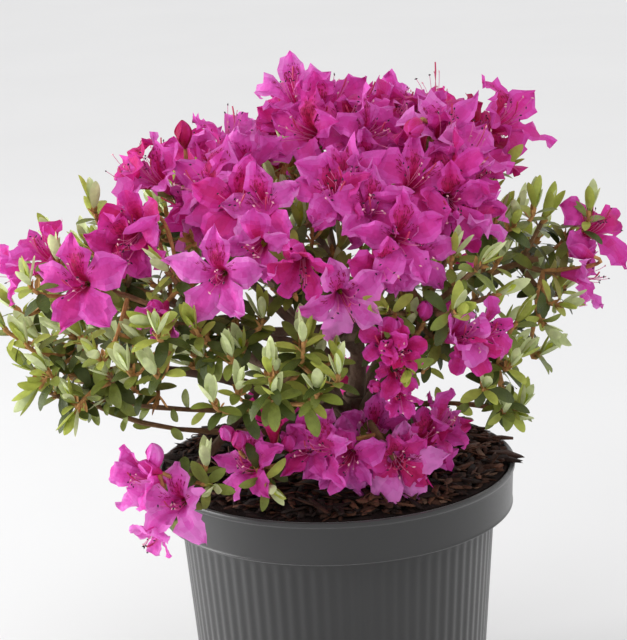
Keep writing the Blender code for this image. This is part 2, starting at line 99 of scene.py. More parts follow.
def mesh_piece(name, materials, points, faces, deal=None, smooth=True):
    """One object at the origin from an array of points and a list of face arrays.

    Each face array holds one face a row, and deal gives each face the number of its material.
    """
    loops = np.concatenate([np.asarray(part, dtype=np.int32).ravel() for part in faces])
    sizes = np.concatenate([np.full(len(part), np.shape(part)[1], dtype=np.int32) for part in faces])
    starts = np.concatenate([[0], np.cumsum(sizes)[:-1]]).astype(np.int32)
    mesh = bpy.data.meshes.new(name)
    mesh.vertices.add(len(points))
    mesh.vertices.foreach_set("co", np.asarray(points, dtype=np.float32).ravel())
    mesh.loops.add(len(loops))
    mesh.loops.foreach_set("vertex_index", loops)
    mesh.polygons.add(len(sizes))
    mesh.polygons.foreach_set("loop_start", starts)
    for material in materials:
        mesh.materials.append(material)
    if deal is not None:
        mesh.polygons.foreach_set("material_index", np.asarray(deal, dtype=np.int32))
    mesh.update(calc_edges=True)
    if smooth:
        mesh.shade_smooth()
        mesh.set_sharp_from_angle(angle=SHARP_ANGLE)
    piece = bpy.data.objects.new(name, mesh)
    bpy.context.scene.collection.objects.link(piece)
    return piece


def grid_faces(grids, rows, columns, wrap):
    """Quads over a number of like grids of points, whose rows close into rings if they wrap."""
    row = np.arange(rows - 1)[:, None] * columns
    column = np.arange(columns if wrap else columns - 1)[None, :]
    near = row + column
    far = row + (column + 1) % columns
    quad = np.stack([near, far, far + columns, near + columns], axis=-1).reshape(-1, 4)
    return (quad[None] + (np.arange(grids) * rows * columns)[:, None, None]).reshape(-1, 4)


def fan(ring, pole):
    """Triangles that join each pair of neighbours on a ring of points to its pole."""
    return np.stack(np.broadcast_arrays(ring, np.roll(ring, -1, axis=-1), pole), axis=-1).reshape(-1, 3)


def even_turns(count):
    """Angles that go once round in this many even steps."""
    return 2 * math.pi * np.arange(count) / count


def round_axis(radius, turn, height):
    """Points at these radii, angles and heights round the pot's axis."""
    return np.stack(np.broadcast_arrays(radius * np.cos(turn), radius * np.sin(turn), height), axis=-1)


def rounded(corners, reach):
    """The outline with each inner corner eased: three points of the quadratic curve that
    runs between the spots this far before and after it, or a third of a shorter side."""
    corners = np.asarray(corners, dtype=float)
    outline = [corners[:1]]
    for before, corner, after in zip(corners[:-2], corners[1:-1], corners[2:]):
        back = before - corner
        ahead = after - corner
        start = corner + back * min(reach / np.linalg.norm(back), 1 / 3)
        end = corner + ahead * min(reach / np.linalg.norm(ahead), 1 / 3)
        part = np.array([[0.0], [0.5], [1.0]])
        outline.append(start * (1 - part) ** 2 + corner * 2 * part * (1 - part) + end * part**2)
    outline.append(corners[-1:])
    return np.concatenate(outline)


def set_inputs(node, values):
    """Gives each named socket of a node its own value."""
    for name, value in values.items():
        node.inputs[name].default_value = value


def mottle_group():
    """A colour that wanders round its own value by slow noise, and fine noise as a height."""
    group = bpy.data.node_groups.new("mottle", "ShaderNodeTree")
    group.interface.new_socket("Color", in_out="INPUT", socket_type="NodeSocketColor")
    for name in ("Amount", "Slow", "Fine"):
        group.interface.new_socket(name, in_out="INPUT", socket_type="NodeSocketFloat")
    group.interface.new_socket("Color", in_out="OUTPUT", socket_type="NodeSocketColor")
    group.interface.new_socket("Height", in_out="OUTPUT", socket_type="NodeSocketFloat")
    nodes = group.nodes
    given = nodes.new("NodeGroupInput")
    result = nodes.new("NodeGroupOutput")
    place = nodes.new("ShaderNodeTexCoord")
    slow = nodes.new("ShaderNodeTexNoise")
    fine = nodes.new("ShaderNodeTexNoise")
    spread = nodes.new("ShaderNodeMapRange")
    darker = nodes.new("ShaderNodeMath")
    brighter = nodes.new("ShaderNodeMath")
    tone = nodes.new("ShaderNodeHueSaturation")
    set_inputs(slow, {"Detail": 3.0})
    set_inputs(fine, {"Detail": 4.0})
    set_inputs(spread, {"From Min": 0.3, "From Max": 0.7})
    for shift, operation in ((darker, "SUBTRACT"), (brighter, "ADD")):
        shift.operation = operation
        shift.inputs[0].default_value = 1.0
    for start, end in (
        (place.outputs["Object"], slow.inputs["Vector"]),
        (place.outputs["Object"], fine.inputs["Vector"]),
        (given.outputs["Slow"], slow.inputs["Scale"]),
        (given.outputs["Fine"], fine.inputs["Scale"]),
        (given.outputs["Amount"], darker.inputs[1]),
        (given.outputs["Amount"], brighter.inputs[1]),
        (slow.outputs["Fac"], spread.inputs["Value"]),
        (darker.outputs[0], spread.inputs["To Min"]),
        (brighter.outputs[0], spread.inputs["To Max"]),
        (spread.outputs["Result"], tone.inputs["Value"]),
        (given.outputs["Color"], tone.inputs["Color"]),
        (tone.outputs["Color"], result.inputs["Color"]),
        (fine.outputs["Fac"], result.inputs["Height"]),
    ):
        group.links.new(start, end)
    return group


MOTTLE = mottle_group()


def finish_of(name, colour, roughness, amount, slow, fine, relief, specular=0.5, sheen=0.0):
    """A surface of one colour, mottled by this amount over noise of a slow and a fine scale,
    with relief of this height in metres."""
    material = bpy.data.materials.new(name)
    material.use_nodes = True
    nodes = material.node_tree.nodes
    links = material.node_tree.links
    shader = nodes["Principled BSDF"]
    set_inputs(shader, {"Roughness": roughness, "Specular IOR Level": specular, "Sheen Weight": sheen})
    mottle = nodes.new("ShaderNodeGroup")
    mottle.node_tree = MOTTLE
    set_inputs(mottle, {"Color": (*colour, 1.0), "Amount": amount, "Slow": slow, "Fine": fine})
    bump = nodes.new("ShaderNodeBump")
    set_inputs(bump, {"Distance": relief})
    links.new(mottle.outputs["Color"], shader.inputs["Base Color"])
    links.new(mottle.outputs["Height"], bump.inputs["Height"])
    links.new(bump.outputs["Normal"], shader.inputs["Normal"])
    material.diffuse_color = (*colour, 1.0)
    return material


def pot_surface():
    """A profile turned round Z. On the wall the radius sinks by the flute depth where
    the cosine of the flute count times the angle is least, fading out at both ends."""
    step = POT_HEIGHT - BAND_HEIGHT
    lean = (WALL_TOP_RADIUS - BASE_RADIUS) / step
    # Corners as (radius, height): the floor, the wall, the band, the rim and back down inside.
    corners = [(FLOOR_RING, 0.0), (BASE_RADIUS - FOOT_EDGE, 0.0), (BASE_RADIUS, FOOT_EDGE)]
    corners += [(BASE_RADIUS + lean * height, height) for height in WALL_RISES]
    corners += [(WALL_TOP_RADIUS - lean * drop, step - drop) for drop in WALL_DROPS]
    corners += [(BAND_FOOT_RADIUS - BEAD, step), (BAND_FOOT_RADIUS + BEAD / 2, step + BEAD)]
    corners += [(BAND_FOOT_RADIUS, step + BEAD_HEIGHT)]
    corners += [(RIM_RADIUS - beads * BEAD, POT_HEIGHT - drop) for beads, drop in RIM_CORNERS]
    corners += [(RIM_RADIUS - WALL - BEAD, POT_HEIGHT)]
    corners += [(BAND_FOOT_RADIUS - WALL, step + WALL), (WALL_TOP_RADIUS - WALL, step + WALL)]
    corners += [(BASE_RADIUS - WALL, WALL), (FLOOR_RING, WALL)]
    profile = rounded(corners, EASE_REACH)
    rows = len(profile)
    is_outside = np.arange(rows) < rows * OUTSIDE_SHARE
    low = (profile[:, 1] - FLUTE_FOOT) / FLUTE_FADE
    high = (step - FLUTE_STOP - profile[:, 1]) / FLUTE_FADE
    window = np.clip(np.minimum(low, high), 0, 1) * is_outside
    columns = FLUTES * FLUTE_COLUMNS
    turn = even_turns(columns)
    flute = (1 - np.cos(FLUTES * turn)) / 2
    radius = profile[:, :1] - FLUTE_DEPTH * window[:, None] * flute[None, :]
    points = round_axis(radius, turn, profile[:, 1:])
    ring = np.arange(columns)
    under = fan(ring, rows * columns)[:, ::-1]
    floor = fan(ring + (rows - 1) * columns, rows * columns + 1)
    poles = [[0.0, 0.0, 0.0], [0.0, 0.0, WALL]]
    return np.concatenate([points.reshape(-1, 3), poles]), [grid_faces(1, rows, columns, True), under, floor]


def drill_floor(pot):
    """The four drain holes, cut by one Boolean with four upright pins."""
    pins = bpy.data.meshes.new("pins")
    shell = bmesh.new()
    pin = {"segments": DRAIN_SIDES, "radius1": DRAIN_RADIUS, "radius2": DRAIN_RADIUS, "depth": 4 * WALL}
    for hole in range(DRAIN_HOLES):
        turn = 2 * math.pi * hole / DRAIN_HOLES
        middle = (DRAIN_CIRCLE * math.cos(turn), DRAIN_CIRCLE * math.sin(turn), WALL / 2)
        bmesh.ops.create_cone(shell, cap_ends=True, matrix=Matrix.Translation(middle), **pin)
    shell.to_mesh(pins)
    shell.free()
    cutter = bpy.data.objects.new("pins", pins)
    bpy.context.scene.collection.objects.link(cutter)
    cut = pot.modifiers.new("drain_holes", "BOOLEAN")
    cut.operation = "DIFFERENCE"
    cut.object = cutter
    bpy.context.view_layer.objects.active = pot
    bpy.ops.object.modifier_apply(modifier=cut.name)
    bpy.data.objects.remove(cutter, do_unlink=True)
    bpy.data.meshes.remove(pins)


pot_grey = (0.0125, 0.0128, 0.0132)
pot_plastic = finish_of("grey_plastic", pot_grey, 0.36, 0.10, 30, 2600, 0.00010, specular=0.50, sheen=0.25)
pot = mesh_piece("fluted_pot", [pot_plastic], *pot_surface())
drill_floor(pot)
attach(pot, "root")
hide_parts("pot")

# The compost: a moist dark ball of peat and fine roots that fills the pot up to the step
# under its band. It shows only through the drain holes, so the CAD solid stays.
compost = finish_of("peat_compost", (0.030, 0.019, 0.013), 0.95, 0.5, 300, 1500, 0.0015, specular=0.2)
frame["nodes"]["root_ball"].material_slots[0].material = compost

# The bark mulch: coarse chips of dark, damp conifer bark, heaped a little above the rim
# and round the trunk's foot. Loose chips and a few fibres lie across each other, and some
# reach over the rim.
GAP = 0.0003
MULCH_EDGE = 0.1495
MULCH_SEAT = 0.1540
MULCH_FALL = 1.6
SEAT_RADIUS = 0.0225
LUMP_HEIGHT = 0.0012
LUMP_FALL_EAST = 0.010
LUMP_RISE = 4
# Each wave of lumps, as radians to a metre towards the east and the north.
LUMPS_EAST = 210
LUMPS_NORTH = 180
LUMP_PHASE = 1.0
FINE_LUMPS_EAST = 430
FINE_LUMPS_NORTH = 250
FINE_LUMP_SHARE = 0.6
HEAP_RINGS = 26
HEAP_COLUMNS = 96
HEAP_HUB = 0.002
CHIPS = 2300
CHIP_REACH = 0.0905
CHIP_STREW = (0.03, 1.0)
CHIP_LENGTH = (0.005, 0.019)
CHIP_SCALE = (0.6, 1.15)
CHIP_BROADEST = 0.6
CHIP_INSET = 0.42
CHIP_WIDTH = (0.0016, 0.0050)
CHIP_THICKNESS = (0.0006, 0.0017)
CHIP_LAYER = (-0.0004, 0.0046)
CHIP_STATIONS = (-0.5, 0.05, 0.5)
CHIP_NARROWING = (0.55, 1.0, 0.42)
CHIP_POINTS = 12
CHIP_SIDES = 8
CHIP_SKEW = 0.2
CHIP_PITCH = 0.20
CHIP_ROLL = 0.35
CHIP_STEPS = (0.36, 0.76, 0.94)
# Chips west of this edge are dealt darker tints and chips east of it lighter, redder ones, at this rate and
# within this range. This is painted shade from the overhanging crown, added to each chip's own random tone.
SHADE_PAINT_EDGE = 0.035
SHADE_PAINT_RANGE = (-0.12, 0.05)
SHADE_PAINT_RATE = 2.2
RIM_CHIPS = ((-4, 0.018), (-9, 0.014), (14, 0.013), (38, 0.012), (140, 0.013), (172, 0.014), (-150, 0.011))
RIM_CHIP_OVERHANG = 0.004
RIM_CHIP_HEIGHT = POT_HEIGHT + 0.0022
RIM_CHIP_FALL = -0.16
RIM_CHIP_WIDTH = 0.36
RIM_CHIP_THICKNESS = 0.0020
FIBRES = 70
FIBRE_STREW = (0.05, 1.0)
FIBRE_SPREAD = 0.082
FIBRE_REACH = 0.088
FIBRE_HALF = (0.006, 0.016)
FIBRE_BOW = 0.3
FIBRE_LIFT = 0.0045
FIBRE_ARCH = 0.0012
FIBRE_RADIUS = 0.00035
FIBRE_STATIONS = 7
FIBRE_SIDES = 4
LEAST_BEND = 0.01


def heap_height(radius, turn):
    """Level on its seat, then falling by a power of the way to the edge. Off the seat it is
    lumpy: the product of a sine of X and a sine of Y, plus a finer sine that runs aslant."""
    part = np.clip((radius - SEAT_RADIUS) / (BAND_FOOT_RADIUS - WALL - SEAT_RADIUS), 0, 1)
    fall = MULCH_SEAT + (MULCH_EDGE - MULCH_SEAT) * part**MULCH_FALL
    east = radius * np.cos(turn)
    north = radius * np.sin(turn)
    coarse = np.sin(LUMPS_EAST * east + LUMP_PHASE) * np.sin(LUMPS_NORTH * north)
    fine = FINE_LUMP_SHARE * np.sin(FINE_LUMPS_EAST * east - FINE_LUMPS_NORTH * north)
    height = LUMP_HEIGHT - LUMP_FALL_EAST * east
    return fall + height * (coarse + fine) * np.clip(part * LUMP_RISE, 0, 1)


def heap_surface():
    """Rings of points from the band's foot up its inside and in to the middle."""
    edge = BAND_FOOT_RADIUS - WALL - 2 * GAP
    foot = POT_HEIGHT - BAND_HEIGHT + WALL + GAP
    turn = even_turns(HEAP_COLUMNS)
    radius = np.linspace(edge, HEAP_HUB, HEAP_RINGS)[:, None] * np.ones(HEAP_COLUMNS)
    top = heap_height(radius, turn[None, :])
    radius = np.concatenate([radius[:1], radius])
    top = np.concatenate([np.full((1, HEAP_COLUMNS), foot), top])
    points = round_axis(radius, turn, top).reshape(-1, 3)
    ring = np.arange(HEAP_COLUMNS)
    middle = len(points)
    crown = fan(ring + HEAP_RINGS * HEAP_COLUMNS, middle)
    under = fan(ring, middle + 1)[:, [1, 0, 2]]
    poles = [[0.0, 0.0, MULCH_SEAT], [0.0, 0.0, foot]]
    sides = grid_faces(1, HEAP_RINGS + 1, HEAP_COLUMNS, True)
    return np.concatenate([points, poles]), [sides, crown, under]


def chip_solids(places, headings, lengths, widths, thicknesses, noise):
    """Bent, wedge-ended slabs: four corners at each of three stations along the chip, the
    end stations narrower, every corner moved by a share of the chip's own sizes."""
    count = len(places)
    along = np.array(CHIP_STATIONS)[None, :, None]
    corner_side = np.array([-0.5, 0.5, 0.5, -0.5])[None, None, :]
    corner_up = np.array([-0.5, -0.5, 0.5, 0.5])[None, None, :]
    narrow = np.array(CHIP_NARROWING)[None, :, None]
    skew = noise.uniform(-CHIP_SKEW, CHIP_SKEW, (3, count, 3, 4))
    x = (along + skew[0] * 0.5) * lengths[:, None, None]
    y = (corner_side * narrow + skew[1]) * widths[:, None, None]
    z = (corner_up * narrow + skew[2] - 0.5 * along**2) * thicknesses[:, None, None]
    local = np.stack([x, y, z], axis=-1).reshape(count, CHIP_POINTS, 3)
    ahead = headings[:, 0]
    side = headings[:, 1]
    basis = np.stack([ahead, side, np.cross(ahead, side)], axis=1)
    points = (local @ basis + places[:, None, :]).reshape(-1, 3)
    offset = (np.arange(count) * CHIP_POINTS)[:, None]
    back = np.array([[3, 2, 1, 0]]) + offset
    front = np.array([[8, 9, 10, 11]]) + offset
    return points, [grid_faces(count, 3, 4, True), back, front]


def unit(vectors):
    return vectors / np.linalg.norm(vectors, axis=-1, keepdims=True)


def lay_chips(noise):
    """Chips strewn evenly over the heap, tilted at random, and those over the rim."""
    radius = CHIP_REACH * np.sqrt(noise.uniform(*CHIP_STREW, CHIPS))
    turn = noise.uniform(0, 2 * math.pi, CHIPS)
    lengths = noise.uniform(*CHIP_LENGTH, CHIPS) * noise.uniform(*CHIP_SCALE, CHIPS)
    widths = np.minimum(noise.uniform(*CHIP_WIDTH, CHIPS), CHIP_BROADEST * lengths)
    thicknesses = noise.uniform(*CHIP_THICKNESS, CHIPS)
    inner = np.clip(radius, 0, CHIP_REACH - lengths * CHIP_INSET)
    places = round_axis(inner, turn, heap_height(inner, turn) + noise.uniform(*CHIP_LAYER, CHIPS))
    yaw = noise.uniform(0, 2 * math.pi, CHIPS)
    pitch = noise.normal(0, CHIP_PITCH, CHIPS)
    ahead = round_axis(np.cos(pitch), yaw, np.sin(pitch))
    level = np.stack([-np.sin(yaw), np.cos(yaw), noise.normal(0, CHIP_ROLL, CHIPS)], axis=-1)
    side = unit(level - ahead * (level * ahead).sum(axis=1, keepdims=True))
    rim_turn = np.radians([azimuth for azimuth, _ in RIM_CHIPS])
    rim_length = np.array([length for _, length in RIM_CHIPS])
    rim_places = round_axis(RIM_RADIUS + RIM_CHIP_OVERHANG - rim_length / 2, rim_turn, RIM_CHIP_HEIGHT)
    rim_ahead = unit(round_axis(1.0, rim_turn, RIM_CHIP_FALL))
    rim_side = np.stack([-np.sin(rim_turn), np.cos(rim_turn), 0 * rim_turn], axis=-1)
    places = np.concatenate([places, rim_places])
    headings = np.stack([np.concatenate([ahead, rim_ahead]), np.concatenate([side, rim_side])], axis=1)
    widths = np.concatenate([widths, rim_length * RIM_CHIP_WIDTH])
    thicknesses = np.concatenate([thicknesses, np.full(len(rim_length), RIM_CHIP_THICKNESS)])
    lengths = np.concatenate([lengths, rim_length])
    return chip_solids(places, headings, lengths, widths, thicknesses, noise)


def sweep(paths, radii, sides):
    """Tubes along like paths: circles square to each path, turned from the normal of the
    plane that the path bends in, and closed by a pole at each end.

    paths is an array of tubes by stations by three, radii of tubes by stations or by
    stations by sides.
    """
    paths = np.asarray(paths, dtype=float)
    tubes, stations, _ = paths.shape
    radii = np.asarray(radii, dtype=float)
    if radii.ndim == 2:
        radii = radii[:, :, None]
    along = unit(np.gradient(paths, axis=1))
    middle = paths[:, stations // 2]
    bend = np.cross(middle - paths[:, 0], paths[:, -1] - middle)
    plain = np.cross(along[:, 0], np.eye(3)[np.argmin(np.abs(along[:, 0]), axis=1)])
    length = np.linalg.norm(paths[:, -1] - paths[:, 0], axis=1)
    is_bent = np.linalg.norm(bend, axis=1) > LEAST_BEND * length**2
    bend = unit(np.where(is_bent[:, None], bend, plain))
    across = unit(np.cross(along, bend[:, None, :]))
    other = np.cross(along, across)
    turn = even_turns(sides)
    spokes = across[:, :, None] * np.cos(turn)[:, None] + other[:, :, None] * np.sin(turn)[:, None]
    rings = paths[:, :, None] + spokes * radii[..., None]
    tips = np.stack([paths[:, 0], paths[:, -1]], axis=1)
    points = np.concatenate([rings.reshape(-1, 3), tips.reshape(-1, 3)])
    first = np.arange(tubes)[:, None] * stations * sides + np.arange(sides)
    pole = (tubes * stations * sides + 2 * np.arange(tubes))[:, None]
    start = fan(first, pole)[:, [1, 0, 2]]
    end = fan(first + (stations - 1) * sides, pole + 1)
    return points, [grid_faces(tubes, stations, sides, True), start, end]


def lay_fibres(noise):
    """Thin roots and splinters: shallow arches on the heap, level at both ends."""
    radius = FIBRE_SPREAD * np.sqrt(noise.uniform(*FIBRE_STREW, FIBRES))
    turn = noise.uniform(0, 2 * math.pi, FIBRES)
    yaw = noise.uniform(0, 2 * math.pi, FIBRES)
    half = noise.uniform(*FIBRE_HALF, FIBRES)[:, None]
    part = np.linspace(-1, 1, FIBRE_STATIONS)[None, :]
    bow = noise.uniform(-FIBRE_BOW, FIBRE_BOW, FIBRES)[:, None] * half * part**2
    ahead = np.cos(yaw)[:, None]
    aside = np.sin(yaw)[:, None]
    east = (radius * np.cos(turn))[:, None] + ahead * part * half - aside * bow
    north = (radius * np.sin(turn))[:, None] + aside * part * half + ahead * bow
    pull = np.minimum(1.0, FIBRE_REACH / np.hypot(east, north))
    east *= pull
    north *= pull
    height = heap_height(np.hypot(east, north), np.arctan2(north, east)) + FIBRE_LIFT
    height = height + FIBRE_ARCH * (1 - part**2)
    radii = np.full((FIBRES, FIBRE_STATIONS), FIBRE_RADIUS)
    return sweep(np.stack([east, north, height], axis=-1), radii, FIBRE_SIDES)


def join_parts(parts):
    """Several (points, faces) as one, with the number of each face's own part."""
    points = np.concatenate([points for points, _ in parts])
    faces = []
    deal = []
    start = 0
    for index, (own, lists) in enumerate(parts):
        for part in lists:
            faces.append(np.asarray(part) + start)
            deal.append(np.full(len(part), index))
        start += len(own)
    return points, faces, np.concatenate(deal)


mulch_noise = np.random.default_rng(4)
bark_bed = finish_of("damp_bark_bed", (0.013, 0.006, 0.005), 0.95, 0.5, 200, 900, 0.0012, specular=0.2)
bark_finishes = [
    finish_of("bark_chip_black", (0.014, 0.006, 0.004), 0.75, 0.45, 160, 900, 0.0007, specular=0.2),
    finish_of("bark_chip_brown", (0.042, 0.016, 0.009), 0.80, 0.45, 160, 900, 0.0007, specular=0.2),
    finish_of("bark_chip_red", (0.088, 0.032, 0.016), 0.80, 0.45, 160, 900, 0.0007, specular=0.3),
    finish_of("bark_chip_grey", (0.120, 0.064, 0.041), 0.85, 0.35, 160, 900, 0.0007, specular=0.3),
]
chip_points, chip_faces = lay_chips(mulch_noise)
# Each chip's tint is its own random tone plus painted shade, which makes it darker towards the west.
chip_east = chip_points.reshape(-1, CHIP_POINTS, 3)[:, :, 0].mean(axis=1)
chip_tone_and_shade = mulch_noise.random(len(chip_east)) + SHADE_PAINT_RATE * np.clip(chip_east - SHADE_PAINT_EDGE, *SHADE_PAINT_RANGE)
chip_tint = np.searchsorted(CHIP_STEPS, chip_tone_and_shade)
chip_deal = np.concatenate([np.repeat(chip_tint, CHIP_SIDES), chip_tint, chip_tint])
chips = mesh_piece("bark_chips", bark_finishes, chip_points, chip_faces, chip_deal, smooth=False)
heap = mesh_piece("bark_heap", [bark_bed], *heap_surface())
fibres = mesh_piece("bark_fibres", [bark_finishes[2]], *lay_fibres(mulch_noise))
for piece in (chips, heap, fibres):
    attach(piece, "root")
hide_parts("bark_mulch")

# The trunk and boughs: a short woody stem with a flared foot, which forks into a leader and
# boughs, each tapering to where it enters its mass of shoots. The bark is grey-brown,
# finely ridged along the limb and rough where limbs part.
TRUNK_FOOT = Vector((0.006, 0.002, MULCH_SEAT + GAP))
TRUNK_FORK = Vector((0.012, -0.001, 0.187))
TRUNK_FOOT_RADIUS = 0.0098
TRUNK_TIP_RADIUS = 0.0066
TRUNK_BOW = 0.002
ROOT_FLARE = 0.0046
FLARE_LOBES = 5
LOBE_DEPTH = 0.4
FLARE_FALL = 7
LEADER_RADIUS = 0.0050
BOUGH_RADIUS = 0.0037
SIDE_BOUGH_RADIUS = 0.0028
BOUGH_STEPS = 4
BOUGH_END = 0.62
BOUGH_BEND = 0.45
BOUGH_RISE = 0.14
SIDE_BOUGH_RISE = -0.06
STEM_RADIUS = 0.0021
HEART = Vector((-0.008, 0.0, 0.215))
BARK_RIDGES = (3, 5, 9)
BARK_DRIFTS = (0.4, 1.2)
BARK_SPEEDS = (1, 3)
BARK_DEPTH = 0.055
# The short waves along a limb, as radians to a unit of its run, and how they sway round it.
BARK_KNOTS = 9
BARK_KNOT_SHARE = 0.5
BARK_SWAY = 2
BARK_SWAY_LOBES = 3
ABOUT_A_TURN = 6.3
TRUNK_STEPS = 7
TRUNK_STATIONS = 30
TRUNK_SIDES = 40
TRUNK_BARK_RUN = 2.5
BOUGH_STATIONS = 22
BOUGH_SIDES = 12
BOUGH_BARK_RUN = 5


class Mass(NamedTuple):
    """One mass of twigs, leaves and blossom in the crown."""

    name: str
    centre: Vector
    radius: float
    bloom: float
    parent: str
    fork: float


class Tier(NamedTuple):
    """A ring of like masses: how many, where the first lies, and how far they reach."""

    count: int
    first_azimuth: float
    height: float
    middle_x: float
    reach_x: float
    reach_y: float
    radius: float
    bloom: float
    parent: str
    forks: tuple[float, float]


TIERS = {
    "top": Tier(1, 0, 0.313, -0.008, 0.0, 0.0, 0.052, 1.0, "trunk", (1.0, 1.0)),
    "upper": Tier(4, -100, 0.290, -0.006, 0.073, 0.072, 0.056, 1.0, "top", (0.24, 0.10)),
    "middle": Tier(6, -120, 0.254, -0.008, 0.111, 0.102, 0.056, 0.9, "upper", (0.42, 0.28)),
    "skirt": Tier(6, -90, 0.217, -0.028, 0.106, 0.100, 0.050, 0.0, "trunk", (0.55, 0.32)),
}
LEAFY = {"middle_3": 0.2, "middle_6": 0.6, "upper_2": 0.9}
SPRAYS = {
    "spray_low_left": ((-0.085, -0.104, 0.169), 0.034, 0.9, "skirt_6", 0.50),
    "spray_low_front": ((-0.040, -0.074, 0.180), 0.030, 0.7, "skirt_1", 0.30),
    "spray_low_right": ((0.027, -0.068, 0.176), 0.036, 1.0, "skirt_2", 0.25),
    "spray_low_back": ((-0.020, 0.098, 0.172), 0.034, 0.7, "skirt_4", 0.30),
}


def taper(first, last, count):
    """Evenly stepped radii from the first to the last."""
    return [first + (last - first) * index / (count - 1) for index in range(count)]


def curve(start, bend, end, steps):
    """Points along the quadratic curve that is pulled towards its bend."""
    path = []
    for step in range(steps + 1):
        part = step / steps
        path.append(start * (1 - part) ** 2 + bend * (2 * part * (1 - part)) + end * part**2)
    return path


def set_off(path, along):
    """The path with its first step turned into this line."""
    path[1] = path[0] + along * (path[1] - path[0]).length
    return path


def nearest_in_tier(centre, masses, tier_name):
    ring = [mass for mass in masses if mass.name.startswith(tier_name)]
    return min(ring, key=lambda mass: (mass.centre - centre).length).name


def crown_masses():
    """Every mass by name: the rings of the tiers first, then the single sprays."""
    masses = []
    for tier_name, tier in TIERS.items():
        for index in range(tier.count):
            name = f"{tier_name}_{index + 1}"
            turn = math.radians(tier.first_azimuth) + 2 * math.pi * index / tier.count
            east = tier.middle_x + tier.reach_x * math.cos(turn)
            centre = Vector((east, tier.reach_y * math.sin(turn), tier.height))
            parent = tier.parent
            if parent in TIERS:
                parent = nearest_in_tier(centre, masses, parent)
            bloom = LEAFY.get(name, tier.bloom)
            masses.append(Mass(name, centre, tier.radius, bloom, parent, tier.forks[index % 2]))
    for name, (centre, radius, bloom, parent, fork) in SPRAYS.items():
        masses.append(Mass(name, Vector(centre), radius, bloom, parent, fork))
    return masses


def trunk_limb():
    """The trunk's path and its taper, without the flare of its roots."""
    bend = TRUNK_FOOT.lerp(TRUNK_FORK, 0.5) + Vector((TRUNK_BOW, 0.0, 0.0))
    path = curve(TRUNK_FOOT, bend, TRUNK_FORK, TRUNK_STEPS)
    path[1].xy = path[0].xy
    return path, taper(TRUNK_FOOT_RADIUS, TRUNK_TIP_RADIUS, len(path))


def bough_path(mass, limbs):
    """From its parent's axis, up and outwards, to where it enters its mass."""
    parent_path, _ = limbs[mass.parent]
    place = mass.fork * (len(parent_path) - 1)
    before = min(int(place), len(parent_path) - 2)
    start = parent_path[before].lerp(parent_path[before + 1], place - before)
    along = (parent_path[-1] - parent_path[-2]).normalized()
    if mass.fork == 1.0:
        start = parent_path[-1] + along * GAP
    inward = (HEART - mass.centre).normalized()
    end = mass.centre + inward * mass.radius * BOUGH_END
    length = (end - start).length
    rise = BOUGH_RISE if mass.parent == "trunk" else SIDE_BOUGH_RISE
    bend = start.lerp(end, BOUGH_BEND) + Vector((0.0, 0.0, rise * length))
    if mass.fork == 1.0:
        return set_off(curve(start, start + along * length / 2, end, BOUGH_STEPS), along)
    return curve(start, bend, end, BOUGH_STEPS)


def rows_of(points):
    """Vectors as the rows of an array."""
    return np.array([tuple(point) for point in points])


def resampled(path, radii, stations):
    """The same limb with more stations, on a cubic through its points (Catmull-Rom)."""
    given = rows_of(path)
    spread = np.concatenate([2 * given[:1] - given[1:2], given, 2 * given[-1:] - given[-2:-1]])
    place = np.linspace(0, len(given) - 1, stations)
    index = np.minimum(place.astype(int), len(given) - 2)
    part = (place - index)[:, None]
    before, start, end, after = (spread[index + step] for step in range(4))
    line = start + 0.5 * part * (end - before)
    line += part**2 * (before - 2.5 * start + 2 * end - 0.5 * after)
    line += part**3 * (1.5 * (start - end) + 0.5 * (after - before))
    return line, np.interp(place, np.arange(len(given)), radii)


def resample_all(limbs, stations):
    """The paths of several limbs as one array, and their radii as another."""
    lines = [resampled(path, radii, stations) for path, radii in limbs]
    return np.stack([line for line, _ in lines]), np.stack([radii for _, radii in lines])


def bark_relief(stations, sides, seed, run):
    """Ridges along the limb that wander as they climb: a sum of waves round it whose phase
    drifts over this run of height, plus short waves along it, as a share of the radius."""
    noise = np.random.default_rng(seed)
    turn = even_turns(sides)[None, :]
    height = np.linspace(0, run, stations)[:, None]
    relief = np.zeros((stations, sides))
    for ridges in BARK_RIDGES:
        drift = noise.uniform(*BARK_DRIFTS)
        phase = noise.uniform(0, ABOUT_A_TURN)
        speed = noise.uniform(*BARK_SPEEDS)
        relief += np.sin(ridges * turn + phase + drift * np.sin(speed * height)) / ridges**0.5
    sway = BARK_SWAY * np.sin(BARK_SWAY_LOBES * turn + noise.uniform(0, ABOUT_A_TURN))
    relief += BARK_KNOT_SHARE * np.sin(BARK_KNOTS * height + sway)
    return 1 + BARK_DEPTH * relief


masses = crown_masses()
limbs = {"trunk": trunk_limb()}
for mass in masses:
    foot_radius = BOUGH_RADIUS if mass.parent == "trunk" else SIDE_BOUGH_RADIUS
    if mass.fork == 1.0:
        foot_radius = LEADER_RADIUS
    path = bough_path(mass, limbs)
    limbs[mass.name] = (path, taper(foot_radius, STEM_RADIUS, len(path)))

bark = finish_of("grey_brown_bark", (0.115, 0.075, 0.050), 0.85, 0.35, 120, 700, 0.0009, specular=0.25)
trunk_paths, trunk_radii = resample_all([limbs["trunk"]], TRUNK_STATIONS)
flare_lobes = 1 - LOBE_DEPTH + LOBE_DEPTH * np.cos(FLARE_LOBES * even_turns(TRUNK_SIDES))
flare = ROOT_FLARE * np.exp(-FLARE_FALL * np.linspace(0, 1, TRUNK_STATIONS))[:, None] * flare_lobes
trunk_relief = bark_relief(TRUNK_STATIONS, TRUNK_SIDES, 1, TRUNK_BARK_RUN)
trunk_radii = trunk_radii[..., None] * trunk_relief + flare
trunk = mesh_piece("trunk_bark", [bark], *sweep(trunk_paths, trunk_radii, TRUNK_SIDES))
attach(trunk, "root")
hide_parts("trunk")

